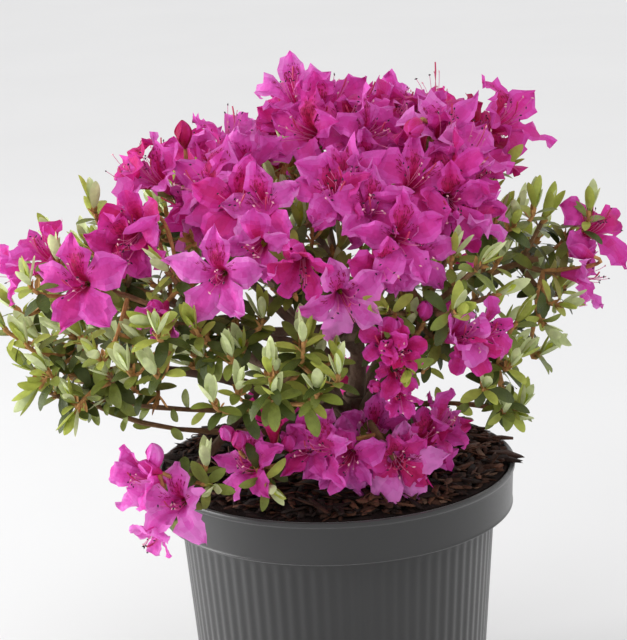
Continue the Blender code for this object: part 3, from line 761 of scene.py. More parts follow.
bough_paths, bough_radii = resample_all([limbs[mass.name] for mass in masses], BOUGH_STATIONS)
bough_seeds = range(2, 2 + len(masses))
bough_relief = [bark_relief(BOUGH_STATIONS, BOUGH_SIDES, seed, BOUGH_BARK_RUN) for seed in bough_seeds]
bough_radii = bough_radii[..., None] * np.stack(bough_relief)
boughs = mesh_piece("bough_bark", [bark], *sweep(bough_paths, bough_radii, BOUGH_SIDES))
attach(boughs, "root")
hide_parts(*["bough_" + mass.name for mass in masses])

# The shoots: each mass grows from one stem that goes on from its bough. Its twigs curve up
# into the line of a bloom or a rosette of leaves, and finer ones fill the room between.
# Young wood is hairy and orange-brown, older wood is grey-brown.
GOLDEN_ANGLE = math.pi * (3 - math.sqrt(5))
SPACE_REACH = 1.35
SPACE_MARGIN = 0.0004
LIMB_MARGIN = 0.0008
POT_MARGIN = 0.0015
MULCH_LUMP = 0.0028
PETALS = 5
BLOOM_RADIUS = 0.0262
BLOOM_DEPTH = 0.024
THROAT_DEPTH = 0.017
NOTCH_SHARE = 0.60
NOTCH_DIP = 0.004
PETAL_SHARES = (1.0, 0.9, 0.8, 0.7, 0.6, 0.5, 0.4, 0.3)
STEM_STEPS = 4
STEM_PAST_MIDDLE = 0.12
TWIG_RADIUS = 0.0015
TWIG_BEND = 0.014
TWIG_BEND_SHARE = 0.5
TWIG_SUNK = 0.003
TIP_TRIES = 44
TIP_CAP = math.radians(112)
TIP_REACH = (0.50, 0.68)
BLOOM_ROOM = 0.010
BLOOM_SPACING = 0.027
ROSETTE_ROOM = 0.005
ROSETTE_SPACING = 0.031
BLOOM_TURN = (1.2, 0.3)
ROSETTE_TURN = (0.3, 1.3)
FINE_TRIES = 62
FINE_CAP = math.radians(135)
FINE_REACH_LEAFY = (0.35, 0.92)
FINE_REACH_BLOSSOM = (0.20, 0.60)
FINE_SPACING = 0.0145
FINE_BLOOM_SPACING = 0.021
MOUTH_SPACING = 0.0145
COMPANION_TRIES = 12
COMPANION_LEAN = math.radians(52)
COMPANION_STALK = 0.011
BLOSSOM_FLOOR = 0.268
BLOSSOM_REACH = 0.107
DOME_SHIFT = 0.20
DOME_TAPER = 0.12
SPRAY_EDGE = -0.108
LOW_EDGE = -0.064
SPRAY_CLEAR = 0.026
BLOSSOM_TOP = 0.353
DOME_PEAK = 0.020
DOME_FALL = 2.2
TRUSS_DROP = 0.006
LEAF_DROP = 0.036
GAP_REACH = 0.020
STRAY_SHARE = 0.10
THIN_SIDE = 0.060
THIN_SHARES = (0.34, 0.68)
OPENING = (0.066, 0.212)
OPENING_REACH = 0.019
RIGHT_FLOOR_START = 0.045
RIGHT_FLOOR_RISE = 0.9
LEAF_FLOOR = 0.198
LEAF_FLOOR_RISE = 0.024
LEAF_FLOOR_TILT = 0.06
LEAST_ACROSS = 0.001
SPENT_SHARE = 0.30
PATH_STEPS = 7
LEAST_SIZE = 0.8
ROOM_SIZE = 0.2
BLOSSOM_SHARE = 0.3
ROSETTE_MIDDLE = 0.006
ROSETTE_TOP = 0.010
FINE_ROOM = 0.003
FINE_CLEAR = 0.004
FINE_PATH_CLEAR = 0.001
COMPANION_LEANS = (0.55, 1.3)
COMPANION_STALKS = (0.8, 1.3)
COMPANION_START = 0.003
COMPANION_BEND = 0.006
COMPANION_SIZE = 0.98
STEM_STATIONS = 12
STEM_SIDES = 8
TWIG_RADII = (0.0016, 0.0012)
FINE_RADII = (0.0012, 0.0010)
TWIG_SIDES = 6
KNOT_DEPTH = 0.16
KNOT_TURN = 2.6


class Sight(NamedTuple):
    """A flower, rosette or tuft placed by itself: where it is in millimetres, the way it faces
    in degrees, and a flower's openness (drawn by chance where it is nought), size and tint."""

    x: float
    y: float
    z: float
    azimuth: float
    elevation: float
    openness: float = 0.0
    size: float = 1.0
    tint: float = 0.0

    def place(self):
        return Vector((self.x / 1000, self.y / 1000, self.z / 1000))

    def axis(self):
        turn = math.radians(self.azimuth)
        rise = math.radians(self.elevation)
        return Vector((math.cos(turn) * math.cos(rise), math.sin(turn) * math.cos(rise), math.sin(rise)))


def sights(*rows):
    return [Sight(*row) for row in rows]


# The large flowers.
SHOW_BLOOMS = sights(
    # At the left and on top.
    (-54, -125, 284, -100, 8),
    (-121, -105, 279, -100, 14),
    (-88, -50, 324, -130, 45),
    (-16, -18, 358, -110, 55, 0.90, 0.95, -1.2),
    (8, -4, 350, -50, 55),
    # At the upper right and in the upper middle.
    (99, 0, 334, -35, 35),
    (9, -95, 322, -85, 30),
    (45, -85, 320, -70, 30),
    # Across the middle.
    (-18, -125, 297, -95, 18),
    (36, -115, 297, -75, 12),
    (6, -125, 268, -85, -5, 0.95, 0.92, -1.2),
    # At the far right, and the large bud right of the middle.
    (142, -8, 276, -50, 30),
    (141, -22, 250, -30, 0, 0.80, 0.85, -0.8),
    (66, -110, 250, -60, 25, 0.42, 0.85, -1.2),
    # Low over the mulch.
    (-81, -122, 172, -106, 14),
    (-48, -88, 182, -120, 30, 1.00, 0.82, 0.0),
    (2, -78, 176, -95, 10, 1.00, 0.90, -0.5),
    (34, -78, 172, -80, 15, 1.00, 0.92, -0.5),
    (56, -45, 179, -50, 25, 0.80, 0.92, 0.0),
)
# The smaller flowers, half open ones and buds.
EXTRA_BLOOMS = sights(
    # At the left.
    (-96, -88, 290, -125, -30, 0.75, 0.95),
    (-85, -105, 270, -110, 55, 0.20, 0.60),
    (-83, -105, 259, -110, -25, 0.45, 0.60),
    (-103, -40, 319, -160, 25, 0.90, 1.00),
    (-160, -55, 275, -165, 5, 0.60, 0.80),
    (-142, -68, 292, -140, 50, 0.62, 0.85),
    (-99, -82, 289, -85, 10, 0.80, 0.80),
    (-95, -75, 301, -120, 30, 0.45, 0.85),
    # Right of the middle, at the front.
    (60, -85, 305, -80, 0, 0.85, 0.85),
    (69, -75, 293, -50, -10, 0.60, 0.80),
    # Across the middle.
    (-31, -105, 314, -100, 20, 0.90, 0.90),
    (22, -105, 311, -80, 20, 0.80, 0.90),
    (2, -100, 318, -95, 35, 0.70, 0.90),
    (45, -105, 283, -70, -5, 0.90, 0.85),
    (-35, -115, 294, -105, 0, 0.60, 0.80),
    (67, -100, 236, -70, -20, 0.50, 0.72),
    (-14, -120, 283, -95, -25, 0.50, 0.80),
    (26, -115, 280, -75, -30, 0.70, 0.80),
    # On top and at the right.
    (-70, -30, 343, -100, 75, 0.20, 0.70),
    (-43, -100, 315, -95, 25, 1.00, 1.00),
    (61, -50, 339, -75, 45, 0.80, 1.00),
    (81, -40, 311, -40, 15, 0.90, 1.00),
    (40, -80, 339, -110, -10, 0.20, 0.85),
    (89, -55, 296, -10, 0, 0.25, 0.80),
    (121, -20, 267, 170, 20, 0.35, 0.65),
    # The cluster of buds right of the middle, and the column that hangs under it.
    (31, -110, 257, -80, 40, 0.25, 0.60),
    (45, -105, 264, -85, 55, 0.35, 0.60),
    (58, -100, 264, -80, 65, 0.25, 0.85),
    (79, -92, 245, -40, 15, 0.45, 0.70),
    (24, -115, 247, -95, 10, 0.50, 0.55),
    (33, -115, 243, -75, 10, 0.50, 0.55),
    (17, -115, 226, -110, 20, 0.20, 0.50),
    (30, -112, 230, -85, 0, 0.55, 0.55),
    (32, -108, 215, -85, -15, 0.55, 0.60),
    # Low at the left.
    (-88, -118, 203, -110, 70, 0.20, 0.65),
    (-97, -118, 194, -160, 30, 0.20, 0.65),
    (-97, -114, 184, -145, 15, 0.50, 0.80),
    (-91, -120, 154, -125, -40, 0.42, 0.60),
    # The low row over the mulch, with its buds.
    (-31, -80, 206, -90, 75, 0.45, 0.85),
    (-56, -85, 200, -120, 50, 0.20, 0.60),
    (-48, -85, 197, -90, 60, 0.30, 0.60),
    (-16, -85, 187, -110, 20, 0.90, 0.85),
    (18, -60, 178, -90, 30, 1.00, 0.90),
    (-10, -88, 186, -130, 5, 0.90, 0.82),
    (4, -86, 177, -105, -5, 1.00, 0.85),
    (32, -80, 172, -75, -8, 1.00, 0.90),
    (58, -52, 185, -35, 30, 0.60, 0.80),
    (19, -55, 186, -95, 30, 0.80, 0.80),
    (48, -62, 178, -50, 5, 0.80, 0.80),
    (-24, -80, 193, -100, 60, 0.30, 0.60),
)
# Rosettes of young leaves.
SHOW_ROSETTES = sights(
    # At the left edge.
    (-143, -100, 279, -100, 62),
    (-132, -75, 285, -80, 70),
    (-162, -60, 247, -170, 55),
    (-150, -75, 243, -130, 60),
    (-140, -80, 230, -140, 55),
    (-160, -30, 249, 170, 50),
    (-128, -80, 214, -130, 60),
    (-126, -85, 211, -120, -40),
    (-146, -70, 219, 175, -45),
    (-114, -55, 305, -100, 75),
    # Further in at the left.
    (-98, -110, 237, -120, 62),
    (-85, -115, 236, -140, 58),
    (-113, -100, 241, -120, 50),
    (-82, -122, 258, -95, 70),
    # At the front.
    (-58, -120, 223, -100, 65),
    (-46, -120, 229, -60, 60),
    (-30, -135, 241, -92, 78),
    (-14, -125, 252, -88, 75),
    (2, -135, 238, -85, 75),
    (-8, -128, 228, -90, 55),
    (-33, -95, 256, -95, 72),
    (-15, -105, 250, -85, 60),
    (-48, -112, 242, -110, 65),
    (1, -110, 240, -75, 60),
    (-20, -90, 266, -85, 45),
    # At the right.
    (105, -30, 290, -80, 78),
    (135, -10, 282, -70, 75),
    (94, -40, 285, -90, 60),
    (117, -30, 239, -40, 15),
    (108, -40, 231, -60, -20),
    (85, -60, 193, -95, 65),
    (94, -50, 191, -40, 60),
    (88, -70, 220, -60, 55),
    (74, -80, 212, -80, 40),
    # In the low sprays.
    (-61, -105, 175, -95, 10),
    (-34, -90, 169, -60, -10),
    (-64, -90, 181, -80, 70),
)
# Tufts of spent flowers, where the blossom is open.
SPENT_TUFTS = sights(
    (-22, -36, 312, -90, 50),
    (-66, -74, 291, -110, 30),
    (-41, -102, 281, -95, 20),
    (-4, -84, 307, -90, 40),
    (-18, -108, 272, -95, 10),
    (40, -80, 303, -80, 40),
    (-89, -50, 204, -110, -40),
)
# Three long twigs that leave the trunk low, two to the left and one to the right, with only
# a few small leaves along them: the start, bend and end of each.
LONG_TWIGS = (
    ((0.008, 0.000, 0.172), (-0.088, 0.010, 0.157), (-0.125, -0.055, 0.2065)),
    ((0.009, -0.001, 0.182), (-0.080, -0.010, 0.180), (-0.116, -0.052, 0.2065)),
    ((0.009, 0.000, 0.176), (0.062, 0.004, 0.184), (0.090, -0.050, 0.1890)),
)


class Space:
    """The room that one mass keeps to, and the limbs and pot that it stays clear of."""

    def __init__(self, mass, masses, limbs):
        others = [other for other in masses if other.name != mass.name]
        self.centre = np.array(mass.centre)
        self.radius = mass.radius
        self.other_centres = np.array([other.centre for other in others])
        self.other_radii = np.array([other.radius for other in others])
        starts = [point for path, _ in limbs.values() for point in path[:-1]]
        ends = [point for path, _ in limbs.values() for point in path[1:]]
        self.limb_starts = np.array(starts)
        self.limb_runs = np.array(ends) - self.limb_starts
        self.limb_radii = np.array([radius for _, radii in limbs.values() for radius in radii[:-1]])

    def holds(self, points, margin=SPACE_MARGIN):
        """True when every point is on this mass's side of each border with its neighbours."""
        spots = rows_of(points)
        own = ((spots - self.centre) ** 2).sum(axis=1) - self.radius**2
        if np.any(own > (SPACE_REACH**2 - 1) * self.radius**2):
            return False
        away = self.other_centres - self.centre
        apart = np.sqrt((away**2).sum(axis=1))
        offsets = spots[:, None, :] - self.other_centres[None, :, :]
        theirs = (offsets**2).sum(axis=2) - self.other_radii**2
        border = (theirs - own[:, None]) / (2 * apart)
        return bool(border.min() > margin)

    def clear(self, points, margin=LIMB_MARGIN):
        """True when no point comes near a limb, the pot or the mulch."""
        spots = rows_of(points)
        offsets = spots[:, None, :] - self.limb_starts[None, :, :]
        lengths = (self.limb_runs**2).sum(axis=1)
        along = np.clip((offsets * self.limb_runs).sum(axis=2) / lengths, 0, 1)
        nearest = offsets - along[:, :, None] * self.limb_runs
        distance = np.sqrt((nearest**2).sum(axis=2)) - self.limb_radii
        if distance.min() < margin:
            return False
        radius = np.hypot(spots[:, 0], spots[:, 1])
        floor = MULCH_SEAT + MULCH_LUMP + POT_MARGIN
        over_pot = radius < RIM_RADIUS + POT_MARGIN
        return not bool(np.any(over_pot & (spots[:, 2] < floor)))


class Shoot(NamedTuple):
    """A twig and what it ends in: its path, the line of its tip, and how that is turned."""

    path: list
    tip: Vector
    axis: Vector
    roll: float
    is_bloom: bool
    is_fine: bool
    mass: str
    openness: float = 0.0
    size: float = 1.0
    tint: float = 0.0
    is_spent: bool = False
    is_long: bool = False

    def mouth(self):
        """The middle of its flower's mouth."""
        return self.tip + self.axis * BLOOM_DEPTH


def nearest_mass(spot):
    """The mass in whose space a spot lies."""
    return min(masses, key=lambda mass: (mass.centre - spot).length_squared - mass.radius**2)


def spoke(axis, turn):
    """The direction square to an axis, at this angle round it."""
    side = axis.orthogonal().normalized()
    return side * math.cos(turn) + axis.cross(side) * math.sin(turn)


def between(start, end, steps=4):
    """Points evenly along the line to the end, which is the last of them."""
    return [start.lerp(end, (step + 1) / steps) for step in range(steps)]


def petal_shares(foot, axis, roll, space):
    """How much of each petal its space has room for, or None where a bloom finds no room."""
    throat = foot + axis * (BLOOM_DEPTH - THROAT_DEPTH)
    mouth = foot + axis * BLOOM_DEPTH
    if not space.holds([foot, throat]):
        return None
    shares = []
    for index in range(2 * PETALS):
        outwards = spoke(axis, roll + math.pi * index / PETALS)
        is_notch = index % 2 == 1
        reach = BLOOM_RADIUS * (NOTCH_SHARE if is_notch else 1.0)
        whole = mouth + outwards * reach - axis * (NOTCH_DIP if is_notch else 0.0)
        for share in PETAL_SHARES:
            point = throat.lerp(whole, share)
            if space.holds([point]) and space.clear(between(foot, point) + between(throat, point)):
                break
        else:
            return None
        shares.append(share)
    return shares[::2]


def spread_directions(mass, tries, cap, first_turn=0.0):
    """Directions by the golden angle over the outer side of a mass."""
    outward = (mass.centre - HEART).normalized()
    for index in range(tries):
        polar = cap * math.sqrt((index + 0.5) / tries)
        turn = first_turn + index * GOLDEN_ANGLE
        yield outward * math.cos(polar) + spoke(outward, turn) * math.sin(polar)


def tip_axis(spot, direction, is_bloom):
    """Away from the crown's middle, turned towards the mass's outer side and upwards."""
    outer, rise = BLOOM_TURN if is_bloom else ROSETTE_TURN
    return ((spot - HEART).normalized() + direction * outer + Vector((0.0, 0.0, rise))).normalized()


def rule_tips(mass, space, taken, chance):
    """The tips of the rule, as spot, line and kind, where each keeps its distance."""
    tips = []
    for direction in spread_directions(mass, TIP_TRIES, TIP_CAP):
        is_bloom = chance.random() < mass.bloom
        spot = mass.centre + direction * mass.radius * chance.uniform(*TIP_REACH)
        room, spacing = (BLOOM_ROOM, BLOOM_SPACING) if is_bloom else (ROSETTE_ROOM, ROSETTE_SPACING)
        roomy = space.holds([spot], room) and space.clear([spot], ROSETTE_ROOM)
        if roomy and all((spot - tip).length > spacing for tip in taken):
            taken.append(spot)
            tips.append((spot, tip_axis(spot, direction, is_bloom), is_bloom))
    return tips


def show_tips(mass):
    """The large flowers whose tube starts in this mass's space, and each one's own openness,
    size and tint."""
    tips = []
    looks = []
    for sight in SHOW_BLOOMS:
        axis = sight.axis()
        foot = sight.place() - axis * BLOOM_DEPTH
        if nearest_mass(foot).name == mass.name:
            tips.append((foot, axis, True))
            looks.append((sight.openness, sight.size, sight.tint))
    return tips, looks


def twig_path(starts, tip, axis, steps):
    """From the nearest start, out and round into the line of its bloom or rosette."""
    behind = tip - axis * TWIG_BEND
    start = min(starts, key=lambda point: (point - behind).length)
    ready = tip - axis * min(TWIG_BEND, TWIG_BEND_SHARE * (tip - start).length)
    return curve(start, ready, tip, steps)


def mass_stem(mass, limbs):
    """From the bough's tip, in its line, to just past the middle of the mass."""
    path, _ = limbs[mass.name]
    along = (path[-1] - path[-2]).normalized()
    foot = path[-1] + along * GAP
    end = mass.centre + (mass.centre - HEART).normalized() * mass.radius * STEM_PAST_MIDDLE
    return set_off(curve(foot, foot + along * (end - foot).length / 2, end, STEM_STEPS), along)


def in_blossom(mouth):
    """True in the dome of flowers that tops the crown: with height its middle moves to the
    right and its reach shrinks. At the right its floor rises. Below and outside it are leaves."""
    above = mouth.z - BLOSSOM_FLOOR
    reach = BLOSSOM_REACH - DOME_TAPER * above
    rise = RIGHT_FLOOR_RISE * max(mouth.x - RIGHT_FLOOR_START, 0)
    return above > rise and math.hypot(mouth.x - HEART.x - DOME_SHIFT * above, mouth.y) < reach


def dome_top(mouth):
    """The greatest height of a flower of the rule: it falls from the dome's peak by the
    square of the way from it."""
    return BLOSSOM_TOP - DOME_FALL * ((mouth.x - DOME_PEAK) ** 2 + mouth.y**2)


def in_gap(mouth):
    """True by a tuft of spent flowers, where the dome of blossom is open."""
    return any((mouth - tuft.place()).length < GAP_REACH for tuft in SPENT_TUFTS)


def is_spray(name):
    return name.startswith("spray")


def hides_spray(spot, name):
    """True where a rosette of a low spray would stand before one of its placed flowers."""
    ways = (sight.place() - spot for sight in SHOW_BLOOMS + EXTRA_BLOOMS)
    return is_spray(name) and any(way.length < SPRAY_CLEAR for way in ways)


def beside_spray(mouth):
    """True at the far left, and low at the left, where only placed flowers stand."""
    return mouth.x < (SPRAY_EDGE if mouth.z > BLOSSOM_FLOOR else LOW_EDGE)


def leaf_floor(spot):
    """The height under which no leafy shoot ends: it falls to the right, and is raised at the
    crown's front and back by the square of the sine of the angle from its sides."""
    across = spot.xy - HEART.xy
    middle = LEAF_FLOOR - LEAF_FLOOR_TILT * spot.x
    return middle + LEAF_FLOOR_RISE * (across.y / max(across.length, LEAST_ACROSS)) ** 2


def in_opening(spot):
    """True in the opening low at the right, where the mulch and a bare bough show and no leafy
    shoot ends."""
    return math.hypot(spot.x - OPENING[0], spot.z - OPENING[1]) < OPENING_REACH


def too_low(spot, name):
    """True where no leafy shoot ends, unless it is one of a low spray."""
    return (spot.z < leaf_floor(spot) or in_opening(spot)) and not is_spray(name)


def wood_of(stem, shoots):
    """Where another twig may start: along the stem and the middle of each shoot."""
    return stem[1:] + [point for shoot in shoots for point in shoot.path[2:5]]


def main_shoots(mass, space, stem):
    """The shoots of the rule, with each draw of chance in the rule's own order."""
    chance = random.Random(mass.name)
    strays = random.Random(mass.name + " strays")
    tips, looks = show_tips(mass)
    taken = [tip for tip, _, _ in tips]
    tips += rule_tips(mass, space, taken, chance)
    shoots = []
    for index, (tip, axis, is_bloom) in enumerate(tips):
        twig = twig_path(stem[2:-1], tip, axis, 2)[:-1] + [tip + axis * TWIG_SUNK]
        roll = chance.uniform(0, 2 * math.pi)
        outer = between(twig[0], twig[1])[2:] + between(twig[1], twig[2])
        is_placed = index < len(looks)
        has_room = space.holds(outer, TWIG_RADIUS) and space.clear(outer, TWIG_RADIUS + LIMB_MARGIN)
        if not (has_room or is_placed):
            continue
        openness, size, tint = looks[index] if is_placed else (0.0, 1.0, 0.0)
        if is_bloom and has_room:
            # The source draws here for the leaves under a bloom.
            chance.random()
            shares = petal_shares(tip, axis, roll, space)
            if shares is None and not is_placed:
                continue
            if not is_placed:
                size = LEAST_SIZE + ROOM_SIZE * sum(shares) / PETALS
            mouth = tip + axis * BLOOM_DEPTH
            if not is_placed and (mouth.z > dome_top(mouth) or in_gap(mouth) or beside_spray(mouth)):
                continue
            is_kept = is_placed or in_blossom(mouth) or is_spray(mass.name)
            is_bloom = is_kept or strays.random() < STRAY_SHARE
        if not is_bloom and (too_low(tip, mass.name) or hides_spray(tip, mass.name)):
            continue
        path = twig_path(stem[2:-1], tip, axis, PATH_STEPS)
        shoots.append(Shoot(path, tip, axis, roll, is_bloom, False, mass.name, openness, size, tint))
    return shoots


def twig_to(tip, axis, shoots):
    """The mass in whose space a tip lies, and a twig to it from the nearest wood there."""
    owner = nearest_mass(tip).name
    starts = wood_of(stems[owner], [shoot for shoot in shoots if shoot.mass == owner])
    return owner, twig_path(starts, tip, axis, PATH_STEPS)


def extra_shoots(shoots):
    """What is placed one by one: the smaller flowers, then the rosettes and spent tufts, each
    on a twig from the nearest wood, and last the long twigs."""
    chance = random.Random(12)
    found = []
    for sight in EXTRA_BLOOMS:
        axis = sight.axis()
        tip = sight.place() - axis * BLOOM_DEPTH * sight.size
        owner, path = twig_to(tip, axis, shoots)
        roll = chance.uniform(0, ABOUT_A_TURN)
        found.append(Shoot(path, tip, axis, roll, True, True, owner, sight.openness, sight.size))
    for group, is_spent in ((SHOW_ROSETTES, False), (SPENT_TUFTS, True)):
        for sight in group:
            axis = sight.axis()
            tip = sight.place()
            owner, path = twig_to(tip, axis, shoots)
            roll = chance.uniform(0, ABOUT_A_TURN)
            found.append(Shoot(path, tip, axis, roll, False, True, owner, is_spent=is_spent))
    for ends in LONG_TWIGS:
        start, bend, tip = (Vector(end) for end in ends)
        path = curve(start, bend, tip, PATH_STEPS)
        axis = (tip - bend).normalized()
        roll = chance.uniform(0, ABOUT_A_TURN)
        found.append(Shoot(path, tip, axis, roll, False, False, "skirt_6", is_long=True))
    return found


def fine_shoots(mass, space, stem, shoots):
    """Finer shoots, each with a rosette, wherever the rule's shoots leave room."""
    chance = random.Random(mass.name + " fine")
    reach = FINE_REACH_BLOSSOM if mass.bloom > BLOSSOM_SHARE else FINE_REACH_LEAFY
    taken = [shoot.tip for shoot in shoots if not shoot.is_bloom]
    mouths = [shoot.mouth() for shoot in shoots if shoot.is_bloom]
    starts = wood_of(stem, shoots)
    fine = []
    for direction in spread_directions(mass, FINE_TRIES, FINE_CAP, first_turn=1.0):
        spot = mass.centre + direction * mass.radius * chance.uniform(*reach)
        roll = chance.uniform(0, 2 * math.pi)
        axis = tip_axis(spot, direction, False)
        if too_low(spot, mass.name) or hides_spray(spot + axis * ROSETTE_MIDDLE, mass.name):
            continue
        if in_blossom(spot) and spot.z > dome_top(spot) - LEAF_DROP:
            continue
        if abs(spot.x) > THIN_SIDE and chance.random() < THIN_SHARES[spot.x > 0]:
            continue
        if not (space.holds([spot], FINE_ROOM) and space.clear([spot], FINE_CLEAR)):
            continue
        if any((spot - tip).length < FINE_SPACING for tip in taken):
            continue
        if any((spot + axis * ROSETTE_TOP - mouth).length < FINE_BLOOM_SPACING for mouth in mouths):
            continue
        taken.append(spot)
        path = twig_path(starts, spot, axis, PATH_STEPS)
        if space.clear(path[3:], FINE_PATH_CLEAR):
            fine.append(Shoot(path, spot, axis, roll, False, True, mass.name))
    return fine


def companions(shoot, mouths, chance):
    """The other flowers of a truss, on short stalks from the same twig, where there is room."""
    root = shoot.path[-2]
    found = []
    for index in range(COMPANION_TRIES):
        turn = shoot.roll + index * GOLDEN_ANGLE
        lean = COMPANION_LEAN * chance.uniform(*COMPANION_LEANS)
        axis = (shoot.axis * math.cos(lean) + spoke(shoot.axis, turn) * math.sin(lean)).normalized()
        stalk = axis * COMPANION_STALK * chance.uniform(*COMPANION_STALKS)
        foot = root + shoot.axis * COMPANION_START + stalk
        mouth = foot + axis * BLOOM_DEPTH
        if mouth.z > dome_top(mouth) - TRUSS_DROP or in_gap(mouth) or not in_blossom(mouth):
            continue
        if any((mouth - taken).length < MOUTH_SPACING for taken in mouths):
            continue
        mouths.append(mouth)
        path = curve(root, root + shoot.axis * COMPANION_BEND, foot, PATH_STEPS)
        found.append(Shoot(path, foot, axis, turn, True, True, shoot.mass, size=COMPANION_SIZE))
    return found


stems = {mass.name: mass_stem(mass, limbs) for mass in masses}
spaces = {mass.name: Space(mass, masses, limbs) for mass in masses}
shoots = [shoot for mass in masses for shoot in main_shoots(mass, spaces[mass.name], stems[mass.name])]
extra = extra_shoots(shoots)
mouths = [shoot.mouth() for shoot in shoots + extra if shoot.is_bloom]
truss_chance = random.Random(11)
for shoot in list(shoots):
    if shoot.is_bloom and in_blossom(shoot.mouth()):
        extra += companions(shoot, mouths, truss_chance)
for mass in masses:
    own = [shoot for shoot in shoots + extra if shoot.mass == mass.name]
    shoots += fine_shoots(mass, spaces[mass.name], stems[mass.name], own)
shoots += extra


def twig_tubes():
    """Stems, then twigs, then fine twigs, each kind with its own taper, and knotted by a wave."""
    stem_limbs = [(stem, taper(STEM_RADIUS, TWIG_RADIUS, len(stem))) for stem in stems.values()]
    parts = [sweep(*resample_all(stem_limbs, STEM_STATIONS), STEM_SIDES)]
    knots = 1 + KNOT_DEPTH * np.sin(np.arange(PATH_STEPS + 1) * KNOT_TURN)
    for is_fine, radii in ((False, TWIG_RADII), (True, FINE_RADII)):
        paths = np.array([rows_of(shoot.path) for shoot in shoots if shoot.is_fine == is_fine])
        tapers = np.linspace(*radii, PATH_STEPS + 1) * np.ones((len(paths), 1))
        parts.append(sweep(paths, tapers * knots, TWIG_SIDES))
    return join_parts(parts)


young_wood = finish_of("orange_brown_wood", (0.43, 0.22, 0.08), 0.8, 0.35, 300, 1800, 0.0006, specular=0.25)
old_wood = finish_of("brown_twig_wood", (0.21, 0.12, 0.058), 0.85, 0.35, 200, 1200, 0.0006, specular=0.25)
twigs = mesh_piece("twigs", [old_wood, old_wood, young_wood], *twig_tubes())
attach(twigs, "root")

# The leaves: small leathery ovals in rosettes at the shoots' ends. Young ones stand up, pale
# sage with lime at the heart of the rosette. Older ones below them spread and arch, dark
# green with a slight gloss. Brown bud scales sheathe the foot of each rosette and truss.
LEAF_ROWS = 7
LEAF_ROW_EASE = 1.5
LEAF_COLUMNS = 3
LEAF_WIDEST = 1.25
LEAF_BLUNTNESS = 0.58
LEAF_TIP = 0.08
LEAST_ARCH = 0.01
LEAN_WOBBLE = (-7, 7)
TURN_WOBBLE = (-0.25, 0.25)
LEAF_SIZES = (0.72, 1.12)
ARCH_SHARES = (0.6, 1.4)


class LeafKind(NamedTuple):
    """How many a rosette has, their sizes, lean, arch and fold, and where they start."""

    count: int
    length: float
    width: float
    lean: float
    opening: float
    arch: float
    fold: float
    back: float
    step: float


HEART_LEAVES = LeafKind(2, 0.0095, 0.0030, 8, 6, -0.2, 0.45, -0.001, 0.0003)
YOUNG_LEAVES = LeafKind(4, 0.0180, 0.0057, 14, 6, -0.40, 0.45, 0.000, 0.0006)
GREEN_LEAVES = LeafKind(3, 0.0148, 0.0057, 52, 12, 0.60, 0.16, 0.004, 0.0018)
DARK_LEAVES = LeafKind(4, 0.0160, 0.0064, 78, 11, 0.80, 0.12, 0.009, 0.0035)
BUD_SCALES = LeafKind(5, 0.0065, 0.0028, 26, 8, -0.5, 0.5, 0.003, 0.0010)
NODE_LEAVES = LeafKind(6, 0.0115, 0.0052, 50, 4, 0.5, 0.12, 0.014, 0.0100)
SPENT_BRACTS = LeafKind(7, 0.0090, 0.0026, 12, 9, -0.3, 0.40, 0.000, 0.0006)
SEPALS = LeafKind(5, 0.0050, 0.0022, 24, 0, -0.4, 0.4, 0.0005, 0.0)
# The rings round each sort of tip: the kind of leaf, its tints, and the angle of its first one.
SPENT_RINGS = ((SPENT_BRACTS, ("scale",), 0.0),)
TRUSS_RINGS = (
    (BUD_SCALES, ("scale",), 1.0),
    (GREEN_LEAVES, ("fresh", "green", "green"), 0.0),
    (DARK_LEAVES, ("green", "dark"), 2.0),
)
ROSETTE_RINGS = (
    (BUD_SCALES, ("scale",), 1.0),
    (HEART_LEAVES, ("heart",), 0.0),
    (YOUNG_LEAVES, ("young", "young", "fresh"), 0.5),
    (GREEN_LEAVES, ("fresh", "green", "green"), 1.1),
    (DARK_LEAVES, ("green", "dark", "dark"), 2.0),
)
NODE_RING = (NODE_LEAVES, ("green", "dark", "fresh"), 0.7)
SEPAL_RING = (SEPALS, ("heart", "scale", "fresh"), 0.0)
LEAF_FINISHES = {
    "heart": finish_of("leaf_lime", (0.580, 0.670, 0.075), 0.55, 0.15, 200, 2200, 0.0003, specular=0.35),
    "young": finish_of(
        "leaf_sage", (0.630, 0.700, 0.365), 0.62, 0.15, 200, 2600, 0.0003, specular=0.3, sheen=0.10
    ),
    "fresh": finish_of("leaf_fresh", (0.410, 0.460, 0.085), 0.50, 0.20, 180, 1600, 0.0003, specular=0.35),
    "green": finish_of("leaf_green", (0.165, 0.198, 0.034), 0.40, 0.30, 160, 1400, 0.0003, specular=0.25),
    "dark": finish_of("leaf_dark", (0.060, 0.080, 0.015), 0.34, 0.30, 160, 1400, 0.0003, specular=0.25),
    "scale": finish_of("bud_scale", (0.430, 0.225, 0.080), 0.85, 0.30, 300, 2000, 0.0004, specular=0.2),
}
LEAF_NAMES = list(LEAF_FINISHES)
LEAF_THINNESS = 0.25


def let_light_through(material, share):
    """Mixes in a translucent shader of the surface's own colour, as in a thin leaf or petal."""
    nodes = material.node_tree.nodes
    links = material.node_tree.links
    shader = nodes["Principled BSDF"]
    through = nodes.new("ShaderNodeBsdfTranslucent")
    mix = nodes.new("ShaderNodeMixShader")
    set_inputs(mix, {"Fac": share})
    links.new(shader.inputs["Base Color"].links[0].from_socket, through.inputs["Color"])
    links.new(shader.outputs["BSDF"], mix.inputs[1])
    links.new(through.outputs["BSDF"], mix.inputs[2])
    links.new(mix.outputs["Shader"], nodes["Material Output"].inputs["Surface"])


for name in ("heart", "young", "fresh"):
    let_light_through(LEAF_FINISHES[name], LEAF_THINNESS)


